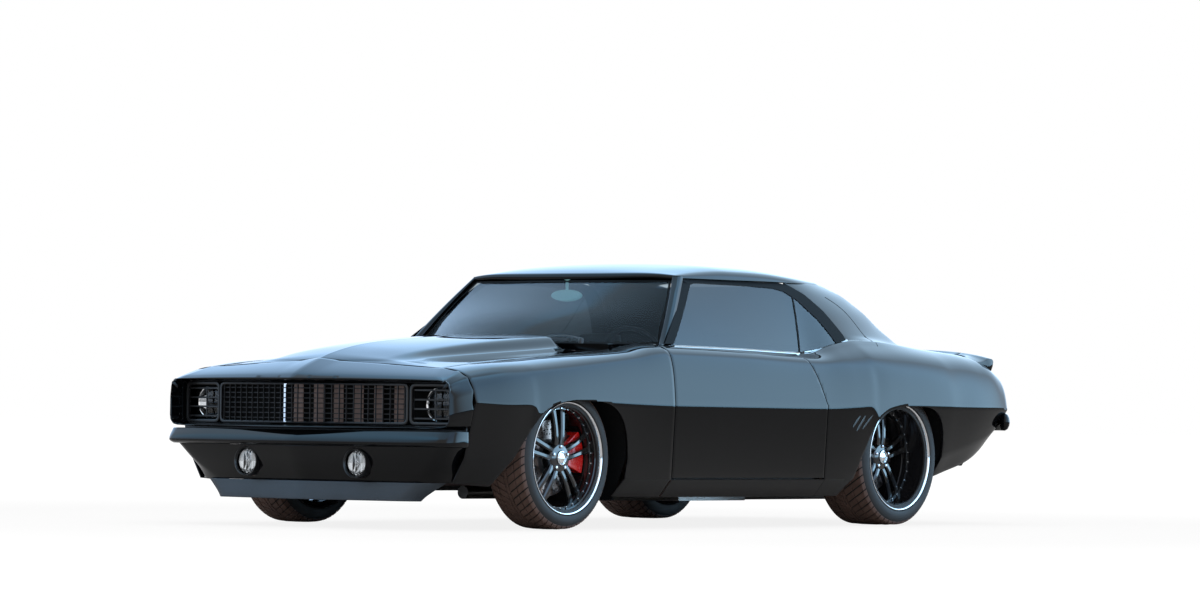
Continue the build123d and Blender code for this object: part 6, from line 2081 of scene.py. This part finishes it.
class BuildLamps(bpy.types.Operator):
    """Builds the hidden head lamps and the fog lamps."""

    bl_idname = "coupe.lamps"
    bl_label = "Front lamps"

    def execute(self, context):
        lamps()
        return {"FINISHED"}


class BuildBumpers(bpy.types.Operator):
    """Builds the bumpers, valances and chin spoiler."""

    bl_idname = "coupe.bumpers"
    bl_label = "Bumpers and valances"

    def execute(self, context):
        front_bumper()
        front_valance()
        rear_bumper()
        return {"FINISHED"}


class BuildTail(bpy.types.Operator):
    """Builds the tail panel and its lamps."""

    bl_idname = "coupe.tail"
    bl_label = "Tail panel"

    def execute(self, context):
        tail()
        return {"FINISHED"}


class BuildLiners(bpy.types.Operator):
    """Builds the splash guards and closers inside the body."""

    bl_idname = "coupe.liners"
    bl_label = "Splash guards"

    def execute(self, context):
        liners()
        return {"FINISHED"}


class BuildWheels(bpy.types.Operator):
    """Builds the wheels and brake discs."""

    bl_idname = "coupe.wheels"
    bl_label = "Wheels"

    def execute(self, context):
        wheels()
        return {"FINISHED"}


class BuildTyres(bpy.types.Operator):
    """Builds the tyres."""

    bl_idname = "coupe.tyres"
    bl_label = "Tyres"

    def execute(self, context):
        tyres()
        return {"FINISHED"}


class BuildRunningGear(bpy.types.Operator):
    """Builds the knuckles, rear axle and calipers."""

    bl_idname = "coupe.running_gear"
    bl_label = "Running gear"

    def execute(self, context):
        running_gear()
        return {"FINISHED"}


class BuildSeats(bpy.types.Operator):
    """Builds the seats."""

    bl_idname = "coupe.seats"
    bl_label = "Seats"

    def execute(self, context):
        seats()
        return {"FINISHED"}


class BuildDashboard(bpy.types.Operator):
    """Builds the dashboard."""

    bl_idname = "coupe.dashboard"
    bl_label = "Dashboard"

    def execute(self, context):
        dashboard()
        dashboard_fittings()
        return {"FINISHED"}


class BuildSteeringWheel(bpy.types.Operator):
    """Builds the steering wheel."""

    bl_idname = "coupe.steering_wheel"
    bl_label = "Steering wheel"

    def execute(self, context):
        steering_wheel()
        return {"FINISHED"}


class BuildInsideMirror(bpy.types.Operator):
    """Builds the inside mirror."""

    bl_idname = "coupe.inside_mirror"
    bl_label = "Inside mirror"

    def execute(self, context):
        inside_mirror()
        return {"FINISHED"}


class BuildStage(bpy.types.Operator):
    """Sets the floor, lamps, world and camera."""

    bl_idname = "coupe.stage"
    bl_label = "Stage"

    def execute(self, context):
        stage()
        return {"FINISHED"}


OPERATORS = (
    BuildMaterials, BuildFenders, BuildQuarters, BuildDoors, BuildSideGlass, BuildRoof,
    BuildScreens, BuildHood, BuildCowl, BuildDeck, BuildNose, BuildGrille,
    BuildLamps, BuildBumpers, BuildTail, BuildLiners, BuildWheels, BuildTyres, BuildRunningGear,
    BuildSeats, BuildDashboard, BuildSteeringWheel, BuildInsideMirror, BuildStage,
)


class CoupePanel(bpy.types.Panel):
    """Lists the coupe's settings and pieces."""

    bl_idname = "VIEW3D_PT_coupe"
    bl_label = "Lowered coupe"
    bl_space_type = "VIEW_3D"
    bl_region_type = "UI"
    bl_category = "Coupe"

    def draw(self, context):
        for name in CoupeSettings.__annotations__:
            self.layout.prop(context.scene.coupe, name)
        for operator in OPERATORS:
            self.layout.operator(operator.bl_idname)


def register():
    """Registers the classes and the scene's settings."""
    for kind in (CoupeSettings, *OPERATORS, CoupePanel):
        bpy.utils.register_class(kind)
    bpy.types.Scene.coupe = PointerProperty(type=CoupeSettings)


def unregister():
    """Removes the settings and the classes."""
    del bpy.types.Scene.coupe
    for kind in (CoupePanel, *reversed(OPERATORS), CoupeSettings):
        bpy.utils.unregister_class(kind)


def main():
    """Builds the whole coupe."""
    register()
    for operator in OPERATORS:
        group, name = operator.bl_idname.split(".")
        getattr(getattr(bpy.ops, group), name)()


if __name__ == "__main__":
    main()
